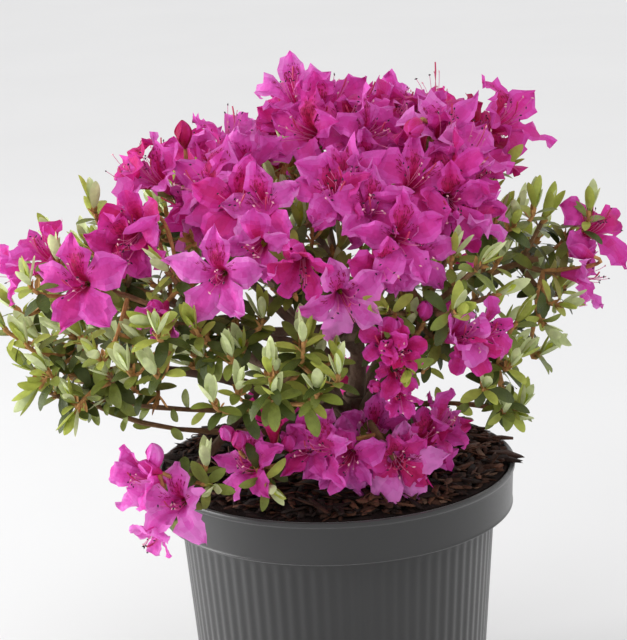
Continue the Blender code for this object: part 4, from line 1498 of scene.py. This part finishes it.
def back_along(path, distance):
    """The point on a path that lies this far back from its end."""
    for index in range(len(path) - 1, 0, -1):
        length = (path[index] - path[index - 1]).length
        if distance <= length:
            return path[index].lerp(path[index - 1], distance / length)
        distance -= length
    return path[0]


def leaf_ring(leaves, shoot, kind, tints, first_turn, chance):
    """Leaves of one kind round a shoot by the golden angle, each set further back and leaning
    further out than the last."""
    for index in range(kind.count):
        lean = math.radians(kind.lean + kind.opening * index + chance.uniform(*LEAN_WOBBLE))
        turn = shoot.roll + first_turn + index * GOLDEN_ANGLE + chance.uniform(*TURN_WOBBLE)
        ahead = shoot.axis * math.cos(lean) + spoke(shoot.axis, turn) * math.sin(lean)
        across = ahead.cross(shoot.axis).normalized()
        share = chance.uniform(*LEAF_SIZES)
        back = max(kind.back + kind.step * index, 0.0)
        root = back_along(shoot.path, back) - shoot.axis * min(kind.back, 0.0)
        arch = kind.arch * chance.uniform(*ARCH_SHARES)
        tint = LEAF_NAMES.index(chance.choice(tints))
        size = (kind.length * share, kind.width * share)
        leaves.append((*root, *ahead, *across, *size, arch, kind.fold, tint))


def has_bloomed(shoot, chance):
    """True at a spent tuft, and by chance at a leafy tip in the blossom, where flowers were."""
    if shoot.is_spent:
        return True
    return not shoot.is_bloom and in_blossom(shoot.tip) and chance.random() < SPENT_SHARE


def grow_leaves():
    """Every leaf as a row of numbers: root, line, side, length, width, arch, fold and tint."""
    chance = random.Random(21)
    leaves = []
    for shoot in shoots:
        if shoot.is_bloom and shoot.is_fine:
            continue
        rings = TRUSS_RINGS if shoot.is_bloom else ROSETTE_RINGS
        for ring in SPENT_RINGS if has_bloomed(shoot, chance) else rings:
            leaf_ring(leaves, shoot, *ring, chance)
    for shoot in shoots:
        if shoot.is_long:
            leaf_ring(leaves, shoot, *NODE_RING, chance)
    return np.array(leaves)


def leaf_blades(leaves):
    """Each blade is a grid of rows along it and three points across. The midrib is an arc
    that turns through the arch angle. The half width is a power of the sine of pi times a
    power of the place along it, so that it is widest past the middle and blunt at its tip.
    The margins rise from the midrib by the fold."""
    root, ahead, across = np.split(leaves[:, :9], 3, axis=1)
    length, width, arch, fold = (leaves[:, column, None] for column in range(9, 13))
    up = np.cross(across, ahead)
    place = 1 - (1 - np.linspace(0, 1, LEAF_ROWS)[None, :]) ** LEAF_ROW_EASE
    angle = arch * place
    safe = np.where(np.abs(arch) < LEAST_ARCH, LEAST_ARCH, arch)
    forward = length * np.sin(safe * place) / safe
    fall = length * (1 - np.cos(safe * place)) / safe
    half = width / 2 * np.maximum(np.sin(math.pi * place**LEAF_WIDEST) ** LEAF_BLUNTNESS, LEAF_TIP)
    midrib = root[:, None] + ahead[:, None] * forward[..., None] - up[:, None] * fall[..., None]
    normal = up[:, None] * np.cos(angle)[..., None] + ahead[:, None] * np.sin(angle)[..., None]
    spread = np.linspace(-1, 1, LEAF_COLUMNS)[None, None, :]
    sideways = (half[..., None] * spread)[..., None] * across[:, None, None]
    lift = (half[..., None] * fold[..., None] * np.abs(spread))[..., None] * normal[:, :, None]
    points = (midrib[:, :, None] + sideways + lift).reshape(-1, 3)
    return points, [grid_faces(len(leaves), LEAF_ROWS, LEAF_COLUMNS, False)]


def leaf_piece(name, rows):
    """The leaves of these rows as one object, each in the finish of its own tint."""
    deal = np.repeat(rows[:, 13].astype(int), (LEAF_ROWS - 1) * (LEAF_COLUMNS - 1))
    return mesh_piece(name, list(LEAF_FINISHES.values()), *leaf_blades(rows), deal)


leaf_rows = grow_leaves()
is_old = np.isin(leaf_rows[:, 13], [LEAF_NAMES.index("green"), LEAF_NAMES.index("dark")])
old_leaves = leaf_piece("old_leaves", leaf_rows[is_old])
young_leaves = leaf_piece("young_leaves", leaf_rows[~is_old])
for piece in (old_leaves, young_leaves):
    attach(piece, "root")
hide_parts(*[mass.name for mass in masses])

# The blossom: wide funnels of five joined petals with waved margins, magenta, deeper in the
# throat. The upper petal of each is flushed crimson and speckled. Each flower sits on a
# short stalk in a small green calyx, and has eight stamens and a longer pistil.
PETAL_LENGTH = 0.0378
TUBE_END = 0.33
FLARE_END = 0.66
TUBE_ANGLE = math.radians(15)
TUBE_FOOT = 0.0014
TUBE_HALF = 0.70
LEAST_FLARE = 0.03
LEAST_CURL = 0.02
LEAST_RADIUS = 0.0003
OPEN_ANGLE = math.radians(95)
OPENNESS_STEPS = (1.0, 0.88, 0.7, 0.5, 0.25)
OPENNESS_ODDS = (0.33, 0.28, 0.21, 0.12, 0.06)
UPPER_LINE = np.array([0.0, 0.25, 1.0])
UPPER_TILT = 0.16
FLOWER_SIZES = (0.86, 1.0)
# Of each petal, as the middle and the spread of what is drawn: how far it opens past its
# flower, curls back, twists, cups and swings round.
PETAL_OPENING = (0, 0.22)
PETAL_CURL = (0.25, 0.65)
PETAL_TWIST = (0, 0.65)
PETAL_CUP = (0.05, 0.26)
PETAL_SWING = (0, 0.09)
# Of each petal, as the least and the greatest: its length, width and point.
PETAL_REACH = (0.90, 1.08)
PETAL_BREADTH = (0.78, 1.10)
PETAL_POINT = (1.6, 3.0)
SPLIT_RUN = 0.20
SPLIT_RATE = 2.2
SPLIT_START = 0.5
PETAL_HALF_WIDTH = 0.0096
PETAL_WIDEST = 0.60
PETAL_TIP = 0.04
PETAL_ROWS = 13
PETAL_COLUMNS = 7
ROW_SHIFT = 0.85
SIDE_PHASE = 1.9
RUFFLES = 3.6
RUFFLE_DEPTH = 0.0027
RUFFLE_START = 0.40
RUFFLE_RUN = 0.25
RUFFLE_POWER = 1.4
# A finer, lower set of ruffles over the first.
ECHO_SHARE = 0.45
ECHO_RATE = 2.2
ECHO_PHASE = 2.7
MARGIN_WAVES = 5.3
MARGIN_DEPTH = 0.08
CRUMPLE_DEPTH = 0.0011
CRUMPLES_ALONG = 1.9
CRUMPLES_ACROSS = 0.7
CRUMPLE_PHASE = 3.1
CREASE_DEPTH = 0.0010
CREASE_WIDTH = 0.3
OVERLAP_LIFT = 0.0005
OVERLAP_SHARE = 0.15
BUD_OPENNESS = 0.40
BUD_SIZE = 0.85
BUD_RADIUS = 0.0052
BUD_FOOT = 0.0007
BUD_REACH = 0.62
BUD_SWELL = 1.25
BUD_BLUNTNESS = 0.9
BUD_SEAM = 0.0005
BUD_SWIRL = 1.3
PETAL_THINNESS = 0.34
HALF_OPEN = 0.6
CLOSED_SHADE = 1.2
FLOWER_SHADES = 0.7
PETAL_SHADES = 0.5
PALE_SHADE = 0.6
PALE_HEIGHT = 0.305
PALE_RUN = 0.025
PALE_FLOOR = 0.200
PALE_SPRAYS = {"spray_low_left": 1.8, "spray_low_front": 0.8, "spray_low_right": 0.8}
BASE_SHADE = 2.5
THROAT_SHADE = 1.7
THROAT_FADE = (0.50, 0.25)
MIDLINE_SHADE = 0.6
MIDLINE_FADE = (0.9, 0.3)
MARGIN_PAINTED_HIGHLIGHT = 2.0
FLUSH_SHADE = 2.6
FLUSH_CORE = 1.1
FLUSH_FADE = (0.80, 0.30)
FACE_SHADES = 0.12
PETAL_TINTS = 15
# Petal tints from pale lilac to deep crimson; the pale end gives the painted highlight at the margins.
PETAL_LADDER = (
    (0.830, 0.240, 0.690),
    (0.775, 0.130, 0.580),
    (0.715, 0.068, 0.455),
    (0.665, 0.036, 0.325),
    (0.610, 0.018, 0.210),
    (0.540, 0.010, 0.130),
    (0.450, 0.005, 0.078),
    (0.360, 0.003, 0.048),
)


class Flowers:
    """Arrays over all flowers: foot, axis, the direction of the upper petal, and how each
    petal opens, curls, twists and waves."""

    def __init__(self, flowers, seed):
        noise = np.random.default_rng(seed)
        count = len(flowers)
        self.foot = rows_of([shoot.tip for shoot in flowers])
        self.axis = rows_of([shoot.axis for shoot in flowers])
        above = UPPER_LINE - self.axis * (self.axis @ UPPER_LINE)[:, None]
        upright = unit(above)
        sideways = np.cross(self.axis, upright)
        tilt = noise.normal(0, UPPER_TILT, count)[:, None]
        self.upper = upright * np.cos(tilt) + sideways * np.sin(tilt)
        self.side = np.cross(self.axis, self.upper)
        self.size = np.array([shoot.size for shoot in flowers]) * noise.uniform(*FLOWER_SIZES, count)
        given = np.array([shoot.openness for shoot in flowers])
        drawn = noise.choice(OPENNESS_STEPS, count, p=OPENNESS_ODDS)
        self.openness = np.where(given > 0, given, drawn)
        self.is_bud = self.openness < BUD_OPENNESS
        self.size = np.where(self.is_bud, np.minimum(self.size, BUD_SIZE), self.size)
        loose = np.where(self.is_bud, 0.0, 1.0)[:, None]
        shape = (count, PETALS)
        self.open_angle = OPEN_ANGLE * self.openness[:, None] + noise.normal(*PETAL_OPENING, shape) * loose
        self.curl = noise.normal(*PETAL_CURL, shape)
        self.twist = noise.normal(*PETAL_TWIST, shape) * loose
        self.wave = noise.uniform(0, 2 * math.pi, shape)
        self.cup = noise.normal(*PETAL_CUP, shape) * loose
        self.swing = noise.normal(*PETAL_SWING, shape) * loose
        self.swirl = np.where(self.is_bud, BUD_SWIRL, 0.0)
        self.reach = noise.uniform(*PETAL_REACH, shape)
        self.breadth = noise.uniform(*PETAL_BREADTH, shape)
        self.point = noise.uniform(*PETAL_POINT, shape)
        height = self.foot[:, 2]
        pale = PALE_SHADE * np.clip((PALE_HEIGHT - height) / PALE_RUN, 0, 1) * (height > PALE_FLOOR)
        pale = pale + np.array([PALE_SPRAYS.get(shoot.mass, 0.0) for shoot in flowers])
        given = np.array([shoot.tint for shoot in flowers])
        own = noise.normal(0, FLOWER_SHADES, (count, 1)) + noise.normal(0, PETAL_SHADES, shape)
        own = own + (given - pale)[:, None]
        self.tint = own + np.where(self.openness < HALF_OPEN, CLOSED_SHADE, 0.0)[:, None]

    def frames(self, flower):
        """The foot, axis, upper petal's direction and side of the flowers of these numbers."""
        return self.foot[flower], self.axis[flower], self.upper[flower], self.side[flower]

    def surface(self, flower, petal, along, spread, lift=0.0):
        """The point of each petal at a place along it and across it.

        Along its midline the petal leans out from the axis by a small angle in the tube,
        then by an angle that grows evenly through the flare, and by its curl to the tip, so
        each stretch is an arc. Across it, the tube is a fifth of a circle, and past it the
        petal runs straight out to its half width, which narrows to a point by a power. The
        margin waves by one sine up and down and by another in and out, and the blade twists
        about its midline. A bud is a spindle: its radius is a power of the sine of pi times
        a power of the place along it, and each petal's edge lies over the next one's.
        """
        size = self.size[flower]
        is_bud = self.is_bud[flower]
        length = PETAL_LENGTH * size * self.reach[flower, petal]
        opened = np.maximum(self.open_angle[flower, petal], TUBE_ANGLE + LEAST_FLARE)
        curl = self.curl[flower, petal]
        curl = np.where(np.abs(curl) < LEAST_CURL, LEAST_CURL, curl)
        tube = np.minimum(along, TUBE_END) * length
        radius = TUBE_FOOT + np.sin(TUBE_ANGLE) * tube
        depth = np.cos(TUBE_ANGLE) * tube
        rate = (opened - TUBE_ANGLE) / ((FLARE_END - TUBE_END) * length)
        angle = TUBE_ANGLE + rate * (np.clip(along, TUBE_END, FLARE_END) - TUBE_END) * length
        radius = radius + (np.cos(TUBE_ANGLE) - np.cos(angle)) / rate
        depth = depth + (np.sin(angle) - np.sin(TUBE_ANGLE)) / rate
        tip_rate = curl / ((1 - FLARE_END) * length)
        tip_angle = opened + tip_rate * np.maximum(along - FLARE_END, 0) * length
        radius = np.maximum(radius + (np.cos(opened) - np.cos(tip_angle)) / tip_rate, LEAST_RADIUS)
        depth = depth + (np.sin(tip_angle) - np.sin(opened)) / tip_rate
        slope = np.where(along > FLARE_END, tip_angle, angle)
        swell = np.maximum(np.sin(math.pi * np.clip(along, 0, 1) ** BUD_SWELL), 0) ** BUD_BLUNTNESS
        spindle = BUD_RADIUS * size * swell + BUD_FOOT + BUD_SEAM * spread * swell
        radius = np.where(is_bud, spindle, radius)
        depth = np.where(is_bud, BUD_REACH * PETAL_LENGTH * size * along, depth)
        free = np.clip((along - TUBE_END) / SPLIT_RUN, 0, 1)
        free = free * free * (3 - 2 * free)
        free = free * np.clip(SPLIT_RATE * self.openness[flower] - SPLIT_START, 0, 1) * ~is_bud
        narrow = np.clip((along - PETAL_WIDEST) / (1 - PETAL_WIDEST), 0, 1)
        narrow = np.maximum(1 - narrow ** self.point[flower, petal], PETAL_TIP)
        blade = PETAL_HALF_WIDTH * size * self.breadth[flower, petal] * narrow
        phase = self.wave[flower, petal] + SIDE_PHASE * np.sign(spread)
        blade = blade * (1 + MARGIN_DEPTH * np.sin(2 * math.pi * MARGIN_WAVES * along + 2 * phase))
        half = np.minimum(TUBE_HALF * radius, blade)
        sector = spread * math.pi / PETALS * (1 + OVERLAP_SHARE - OVERLAP_SHARE * free)
        edge = np.clip((along - RUFFLE_START) / RUFFLE_RUN, 0, 1)
        wave = np.sin(2 * math.pi * RUFFLES * along + phase)
        wave = wave + ECHO_SHARE * np.sin(2 * math.pi * ECHO_RATE * RUFFLES * along + ECHO_PHASE * phase)
        crumple = 2 * math.pi * (CRUMPLES_ALONG * along + CRUMPLES_ACROSS * spread)
        crumple = np.sin(crumple + CRUMPLE_PHASE * self.wave[flower, petal])
        relief = RUFFLE_DEPTH * size * wave * free + self.cup[flower, petal] * half
        relief = edge * relief * np.abs(spread) ** RUFFLE_POWER
        crease = OVERLAP_LIFT * spread - CREASE_DEPTH * edge * np.exp(-((spread / CREASE_WIDTH) ** 2))
        relief = relief + free * (crease + CRUMPLE_DEPTH * crumple) + lift
        twist = self.twist[flower, petal] * np.clip(along - TUBE_END, 0, 1) * free
        across = half * spread * np.cos(twist)
        relief = relief + half * spread * np.sin(twist)
        outwards = (1 - free) * radius * np.cos(sector) + free * radius - np.cos(slope) * relief
        sideways = (1 - free) * radius * np.sin(sector) + free * across
        depth = depth + np.sin(slope) * relief
        turn = 2 * math.pi * petal / PETALS + self.swing[flower, petal] * free + self.swirl[flower] * along
        radial = self.upper[flower] * np.cos(turn)[..., None] + self.side[flower] * np.sin(turn)[..., None]
        tangent = self.side[flower] * np.cos(turn)[..., None] - self.upper[flower] * np.sin(turn)[..., None]
        point = self.foot[flower] + self.axis[flower] * depth[..., None]
        return point + radial * outwards[..., None] + tangent * sideways[..., None]


def fade(along, end, run):
    """One up to a run before this end along a petal, falling evenly to nought at the end."""
    return np.clip((end - along) / run, 0, 1)


def petal_sheets(flowers, chosen):
    """Every petal as one grid, and the number of the tint of each of its faces. The tint is
    deeper in the throat, along the midline and up the upper petal, and paler at the margins,
    where the paler tint is a painted highlight."""
    number, petal, row, column = np.indices((len(chosen), PETALS, PETAL_ROWS, PETAL_COLUMNS))
    along = (row / (PETAL_ROWS - 1)) ** ROW_SHIFT
    spread = 2 * column / (PETAL_COLUMNS - 1) - 1
    points = flowers.surface(chosen[number], petal, along, spread).reshape(-1, 3)
    faces = grid_faces(len(chosen) * PETALS, PETAL_ROWS, PETAL_COLUMNS, False)
    noise = np.random.default_rng(31)
    number, petal, row, column = np.indices((len(chosen), PETALS, PETAL_ROWS - 1, PETAL_COLUMNS - 1))
    flower = chosen[number]
    along = ((row + 0.5) / (PETAL_ROWS - 1)) ** ROW_SHIFT
    edge = np.abs(column + 0.5 - (PETAL_COLUMNS - 1) / 2) / (PETAL_COLUMNS / 2 - 0.5)
    shade = BASE_SHADE + flowers.tint[flower, petal] + THROAT_SHADE * fade(along, *THROAT_FADE)
    shade = shade + MIDLINE_SHADE * (1 - edge) * fade(along, *MIDLINE_FADE)
    # Paler tints towards the margins, more so towards the tip: a painted highlight on the petals' edges.
    shade = shade - MARGIN_PAINTED_HIGHLIGHT * edge**2 * along
    shade = shade + np.where(petal == 0, FLUSH_SHADE, 0.0) * (FLUSH_CORE - edge) * fade(along, *FLUSH_FADE)
    shade = (shade + noise.normal(0, FACE_SHADES, shade.shape)) / (len(PETAL_LADDER) - 1)
    tint = np.clip(np.round(shade * (PETAL_TINTS - 1)), 0, PETAL_TINTS - 1)
    return points, [faces], tint.astype(int).ravel()


# The speckles: how many an open flower has, and where they lie as shares of a petal's length
# and half width, thinning out up the upper petal. Few lie on its two neighbours.
SPECKLES = 110
SPECKLE_LIFT = 0.00025
SPECKLE_PETALS = (0, 1, PETALS - 1)
SPECKLE_ODDS = (0.66, 0.17, 0.17)
SPECKLE_FOOT = (0.36, 0.60)
SPECKLE_CLIMB = (0, 0.24)
SPECKLE_SPREAD = (-0.62, 0.62)
SPECKLE_LENGTHS = (0.012, 0.040)
SPECKLE_WIDTHS = (0.022, 0.044)
SIDE_LEAN = 0.45
SIDE_SPREAD = 0.55


def speckle_marks(flowers):
    """Crimson streaks that lie just over the upper petals of the open flowers: lozenges,
    longer along the petal than across it, thickest towards the throat."""
    noise = np.random.default_rng(32)
    flower = np.repeat(np.flatnonzero(flowers.openness > HALF_OPEN), SPECKLES)
    count = len(flower)
    petal = noise.choice(SPECKLE_PETALS, count, p=SPECKLE_ODDS)
    is_upper = petal == 0
    along = noise.uniform(*SPECKLE_FOOT, count) + noise.uniform(*SPECKLE_CLIMB, count) * is_upper
    lean = np.where(is_upper, 0.0, np.where(petal == 1, -SIDE_LEAN, SIDE_LEAN))
    spread = lean + noise.uniform(*SPECKLE_SPREAD, count) * np.where(is_upper, 1.0, SIDE_SPREAD)
    long = noise.uniform(*SPECKLE_LENGTHS, count)[:, None] * np.array([1, 0, -1, 0])
    wide = noise.uniform(*SPECKLE_WIDTHS, count)[:, None] * np.array([0, 1, 0, -1])
    flower = np.repeat(flower[:, None], 4, axis=1)
    petal = np.repeat(petal[:, None], 4, axis=1)
    points = flowers.surface(flower, petal, along[:, None] + long, spread[:, None] + wide, SPECKLE_LIFT)
    return points.reshape(-1, 3), [np.arange(count * 4).reshape(-1, 4)]


# The stamens and the pistil: how far up and out from the flower's axis each starts, bends
# and ends, how far it sags at its bend, and how thick it is.
STAMENS = 8
STAMENS_OPEN = 0.4
STAMEN_RADIUS = 0.00018
STAMEN_STATIONS = 6
STAMEN_SIDES = 3
STAMEN_FOOT = 0.006
STAMEN_FOOT_OUT = 0.0015
STAMEN_BEND = 0.021
STAMEN_BEND_OUT = 0.003
STAMEN_SAG = 0.002
STAMEN_REACHES = (0.022, 0.035)
STAMEN_LIFTS = (-0.003, 0.004)
STAMEN_FAN = 0.0095
STAMEN_FANS = (0.15, 1.0)
ANTHER_HALF_LENGTH = 0.0010
ANTHER_HALF_WIDTH = 0.00048
ANTHER_SKEW = 0.01
ANTHER_FACES = [[0, 1, 2], [0, 2, 3], [0, 3, 4], [0, 4, 1], [5, 2, 1], [5, 3, 2], [5, 4, 3], [5, 1, 4]]
PALE_ANTHERS = 0.35
PISTIL_FOOT = 0.005
PISTIL_BEND = 0.022
PISTIL_SAG = 0.005
PISTIL_REACHES = (0.025, 0.038)
PISTIL_RISE = 0.003
PISTIL_SWING = 0.003
PISTIL_RADII = (0.00024, 0.00023, 0.00022, 0.00021, 0.00020, 0.00020, 0.00046, 0.0004)
PISTIL_SIDES = 5


def arcs(start, bend, end, steps):
    """Quadratic curves for arrays of starts, bends and ends."""
    part = np.linspace(0, 1, steps)[None, :, None]
    return start[:, None] * (1 - part) ** 2 + bend[:, None] * 2 * part * (1 - part) + end[:, None] * part**2


def anther_solids(middles, axis, noise):
    """Eight-faced beads, each turned at random: the dark ones as one part, then the pale."""
    lean = unit(noise.normal(0, 1, middles.shape))
    across = unit(np.cross(lean, axis) + ANTHER_SKEW)
    other = np.cross(lean, across)
    lean = lean * ANTHER_HALF_LENGTH
    across = across * ANTHER_HALF_WIDTH
    other = other * ANTHER_HALF_WIDTH
    corners = middles[:, None] + np.stack([lean, across, other, -across, -other, -lean], axis=1)
    is_pale = noise.random(len(middles)) < PALE_ANTHERS
    anthers = []
    for chosen in (corners[~is_pale], corners[is_pale]):
        offsets = (np.arange(len(chosen)) * 6)[:, None, None]
        anthers.append((chosen.reshape(-1, 3), [(np.array(ANTHER_FACES)[None] + offsets).reshape(-1, 3)]))
    return anthers


def stamen_parts(flowers):
    """Filaments and pistils as thin tubes from the throat that sag and then turn up towards
    the upper petal, an anther on each filament, and a knob on each pistil."""
    noise = np.random.default_rng(33)
    opened = np.flatnonzero(flowers.openness > STAMENS_OPEN)
    flower = np.repeat(opened, STAMENS)
    count = len(flower)
    turn = noise.uniform(0, 2 * math.pi, count)
    width = noise.uniform(*STAMEN_FANS, count) * flowers.openness[flower]
    foot, axis, upper, side = flowers.frames(flower)
    out = upper * np.cos(turn)[:, None] + side * np.sin(turn)[:, None]
    size = flowers.size[flower][:, None]
    start = foot + axis * STAMEN_FOOT + out * STAMEN_FOOT_OUT
    bend = foot + axis * STAMEN_BEND * size + out * STAMEN_BEND_OUT - upper * STAMEN_SAG
    reach = noise.uniform(*STAMEN_REACHES, count)[:, None] * size
    lift = noise.uniform(*STAMEN_LIFTS, count)[:, None]
    end = foot + axis * reach + out * (STAMEN_FAN * width)[:, None] + upper * lift
    radii = np.full((count, STAMEN_STATIONS), STAMEN_RADIUS)
    filaments = sweep(arcs(start, bend, end, STAMEN_STATIONS), radii, STAMEN_SIDES)
    anthers = anther_solids(end, axis, noise)
    foot, axis, upper, side = flowers.frames(opened)
    size = flowers.size[opened][:, None]
    swing = noise.normal(0, PISTIL_SWING, (len(opened), 1))
    reach = noise.uniform(*PISTIL_REACHES, (len(opened), 1))
    start = foot + axis * PISTIL_FOOT
    bend = foot + axis * PISTIL_BEND * size - upper * PISTIL_SAG
    end = foot + axis * reach * size + upper * PISTIL_RISE + side * swing
    radii = np.array(PISTIL_RADII) * np.ones((len(opened), 1))
    pistils = sweep(arcs(start, bend, end, len(PISTIL_RADII)), radii, PISTIL_SIDES)
    return join_parts([filaments, *anthers, pistils])


def calyx_leaves(flower_shoots):
    """Five pointed sepals round the foot of every flower."""
    chance = random.Random(41)
    rows = []
    for shoot in flower_shoots:
        leaf_ring(rows, shoot, *SEPAL_RING, chance)
    return np.array(rows)


flower_shoots = [shoot for shoot in shoots if shoot.is_bloom]
flowers = Flowers(flower_shoots, 30)
ladder = np.array(PETAL_LADDER)
rungs = np.linspace(0, len(ladder) - 1, PETAL_TINTS)
steps = np.arange(len(ladder))
petal_colours = np.stack([np.interp(rungs, steps, channel) for channel in ladder.T], axis=1)
petal_finishes = [
    finish_of(f"petal_{index + 1}", colour, 0.55, 0.12, 90, 450, 0.0009, specular=0.25, sheen=0.05)
    for index, colour in enumerate(petal_colours.tolist())
]
for finish in petal_finishes:
    let_light_through(finish, PETAL_THINNESS)
is_front = flowers.foot[:, 1] < 0
front_petals = mesh_piece("front_petals", petal_finishes, *petal_sheets(flowers, np.flatnonzero(is_front)))
back_petals = mesh_piece("back_petals", petal_finishes, *petal_sheets(flowers, np.flatnonzero(~is_front)))

crimson = finish_of("speckle_crimson", (0.300, 0.006, 0.060), 0.6, 0.10, 90, 900, 0.0, specular=0.2)
speckles = mesh_piece("speckles", [crimson], *speckle_marks(flowers))

stamen_finishes = [
    finish_of("filament_pink", (0.650, 0.160, 0.360), 0.5, 0.10, 90, 900, 0.0, specular=0.3),
    finish_of("anther_purple", (0.030, 0.006, 0.022), 0.6, 0.30, 300, 900, 0.0, specular=0.3),
    finish_of("anther_pale", (0.700, 0.360, 0.420), 0.6, 0.20, 300, 900, 0.0, specular=0.3),
    finish_of("pistil_pink", (0.470, 0.030, 0.100), 0.45, 0.10, 90, 900, 0.0, specular=0.3),
]
stamens = mesh_piece("stamens", stamen_finishes, *stamen_parts(flowers))
calyces = leaf_piece("calyces", calyx_leaves(flower_shoots))
for piece in (front_petals, back_petals, speckles, stamens):
    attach(piece, "root")
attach(calyces, "root")

# The studio: a plain pale floor, a soft sky of light and three broad lamps, with the camera
# at the front, looking down on the pot a little and rolled by a touch.
FLOOR_SIZE = 8.0
SKY_STRENGTH = 0.97
CAMERA_TARGET = Vector((-0.0087, 0.0, 0.2283))
CAMERA_DISTANCE = 1.2
CAMERA_ELEVATION = math.radians(15.16)
CAMERA_ROLL = math.radians(-2.39)
CAMERA_LENS = 129.15


def make_floor():
    half = FLOOR_SIZE / 2
    corners = [(-half, -half, 0.0), (half, -half, 0.0), (half, half, 0.0), (-half, half, 0.0)]
    pale = finish_of("pale_floor", (0.80, 0.80, 0.805), 0.9, 0.01, 4, 60, 0.0, specular=0.1)
    return mesh_piece("floor", [pale], corners, [[[0, 1, 2, 3]]], smooth=False)


def add_lamp(name, place, size, power):
    lamp = bpy.data.lights.new(name, "AREA")
    lamp.energy = power
    lamp.size = size
    item = bpy.data.objects.new(name, lamp)
    item.location = place
    item.rotation_euler = (CAMERA_TARGET - Vector(place)).to_track_quat("-Z", "Y").to_euler()
    bpy.context.scene.collection.objects.link(item)


def add_camera():
    """The view is level across but for a small roll, on the line that falls towards +Y."""
    ahead = Vector((0.0, math.cos(CAMERA_ELEVATION), -math.sin(CAMERA_ELEVATION)))
    level = Vector((1.0, 0.0, 0.0))
    rise = Vector((0.0, math.sin(CAMERA_ELEVATION), math.cos(CAMERA_ELEVATION)))
    right = level * math.cos(CAMERA_ROLL) + rise * math.sin(CAMERA_ROLL)
    up = rise * math.cos(CAMERA_ROLL) - level * math.sin(CAMERA_ROLL)
    turn = Matrix((right, up, -ahead)).transposed().to_4x4()
    lens = bpy.data.cameras.new("camera")
    lens.lens = CAMERA_LENS
    camera = bpy.data.objects.new("camera", lens)
    camera.matrix_world = Matrix.Translation(CAMERA_TARGET - ahead * CAMERA_DISTANCE) @ turn
    bpy.context.scene.collection.objects.link(camera)
    bpy.context.scene.camera = camera


make_floor()
sky = bpy.data.worlds.new("studio")
sky.use_nodes = True
set_inputs(sky.node_tree.nodes["Background"], {"Color": (1.0, 1.0, 1.0, 1.0), "Strength": SKY_STRENGTH})
bpy.context.scene.world = sky
add_lamp("key", (-1.5, -1.2, 1.2), 1.0, 7.5)
add_lamp("fill", (1.3, -0.9, 1.2), 1.2, 3)
add_lamp("side", (-1.3, -0.1, 0.30), 0.5, 13)
bpy.context.scene.view_settings.view_transform = "Standard"
add_camera()
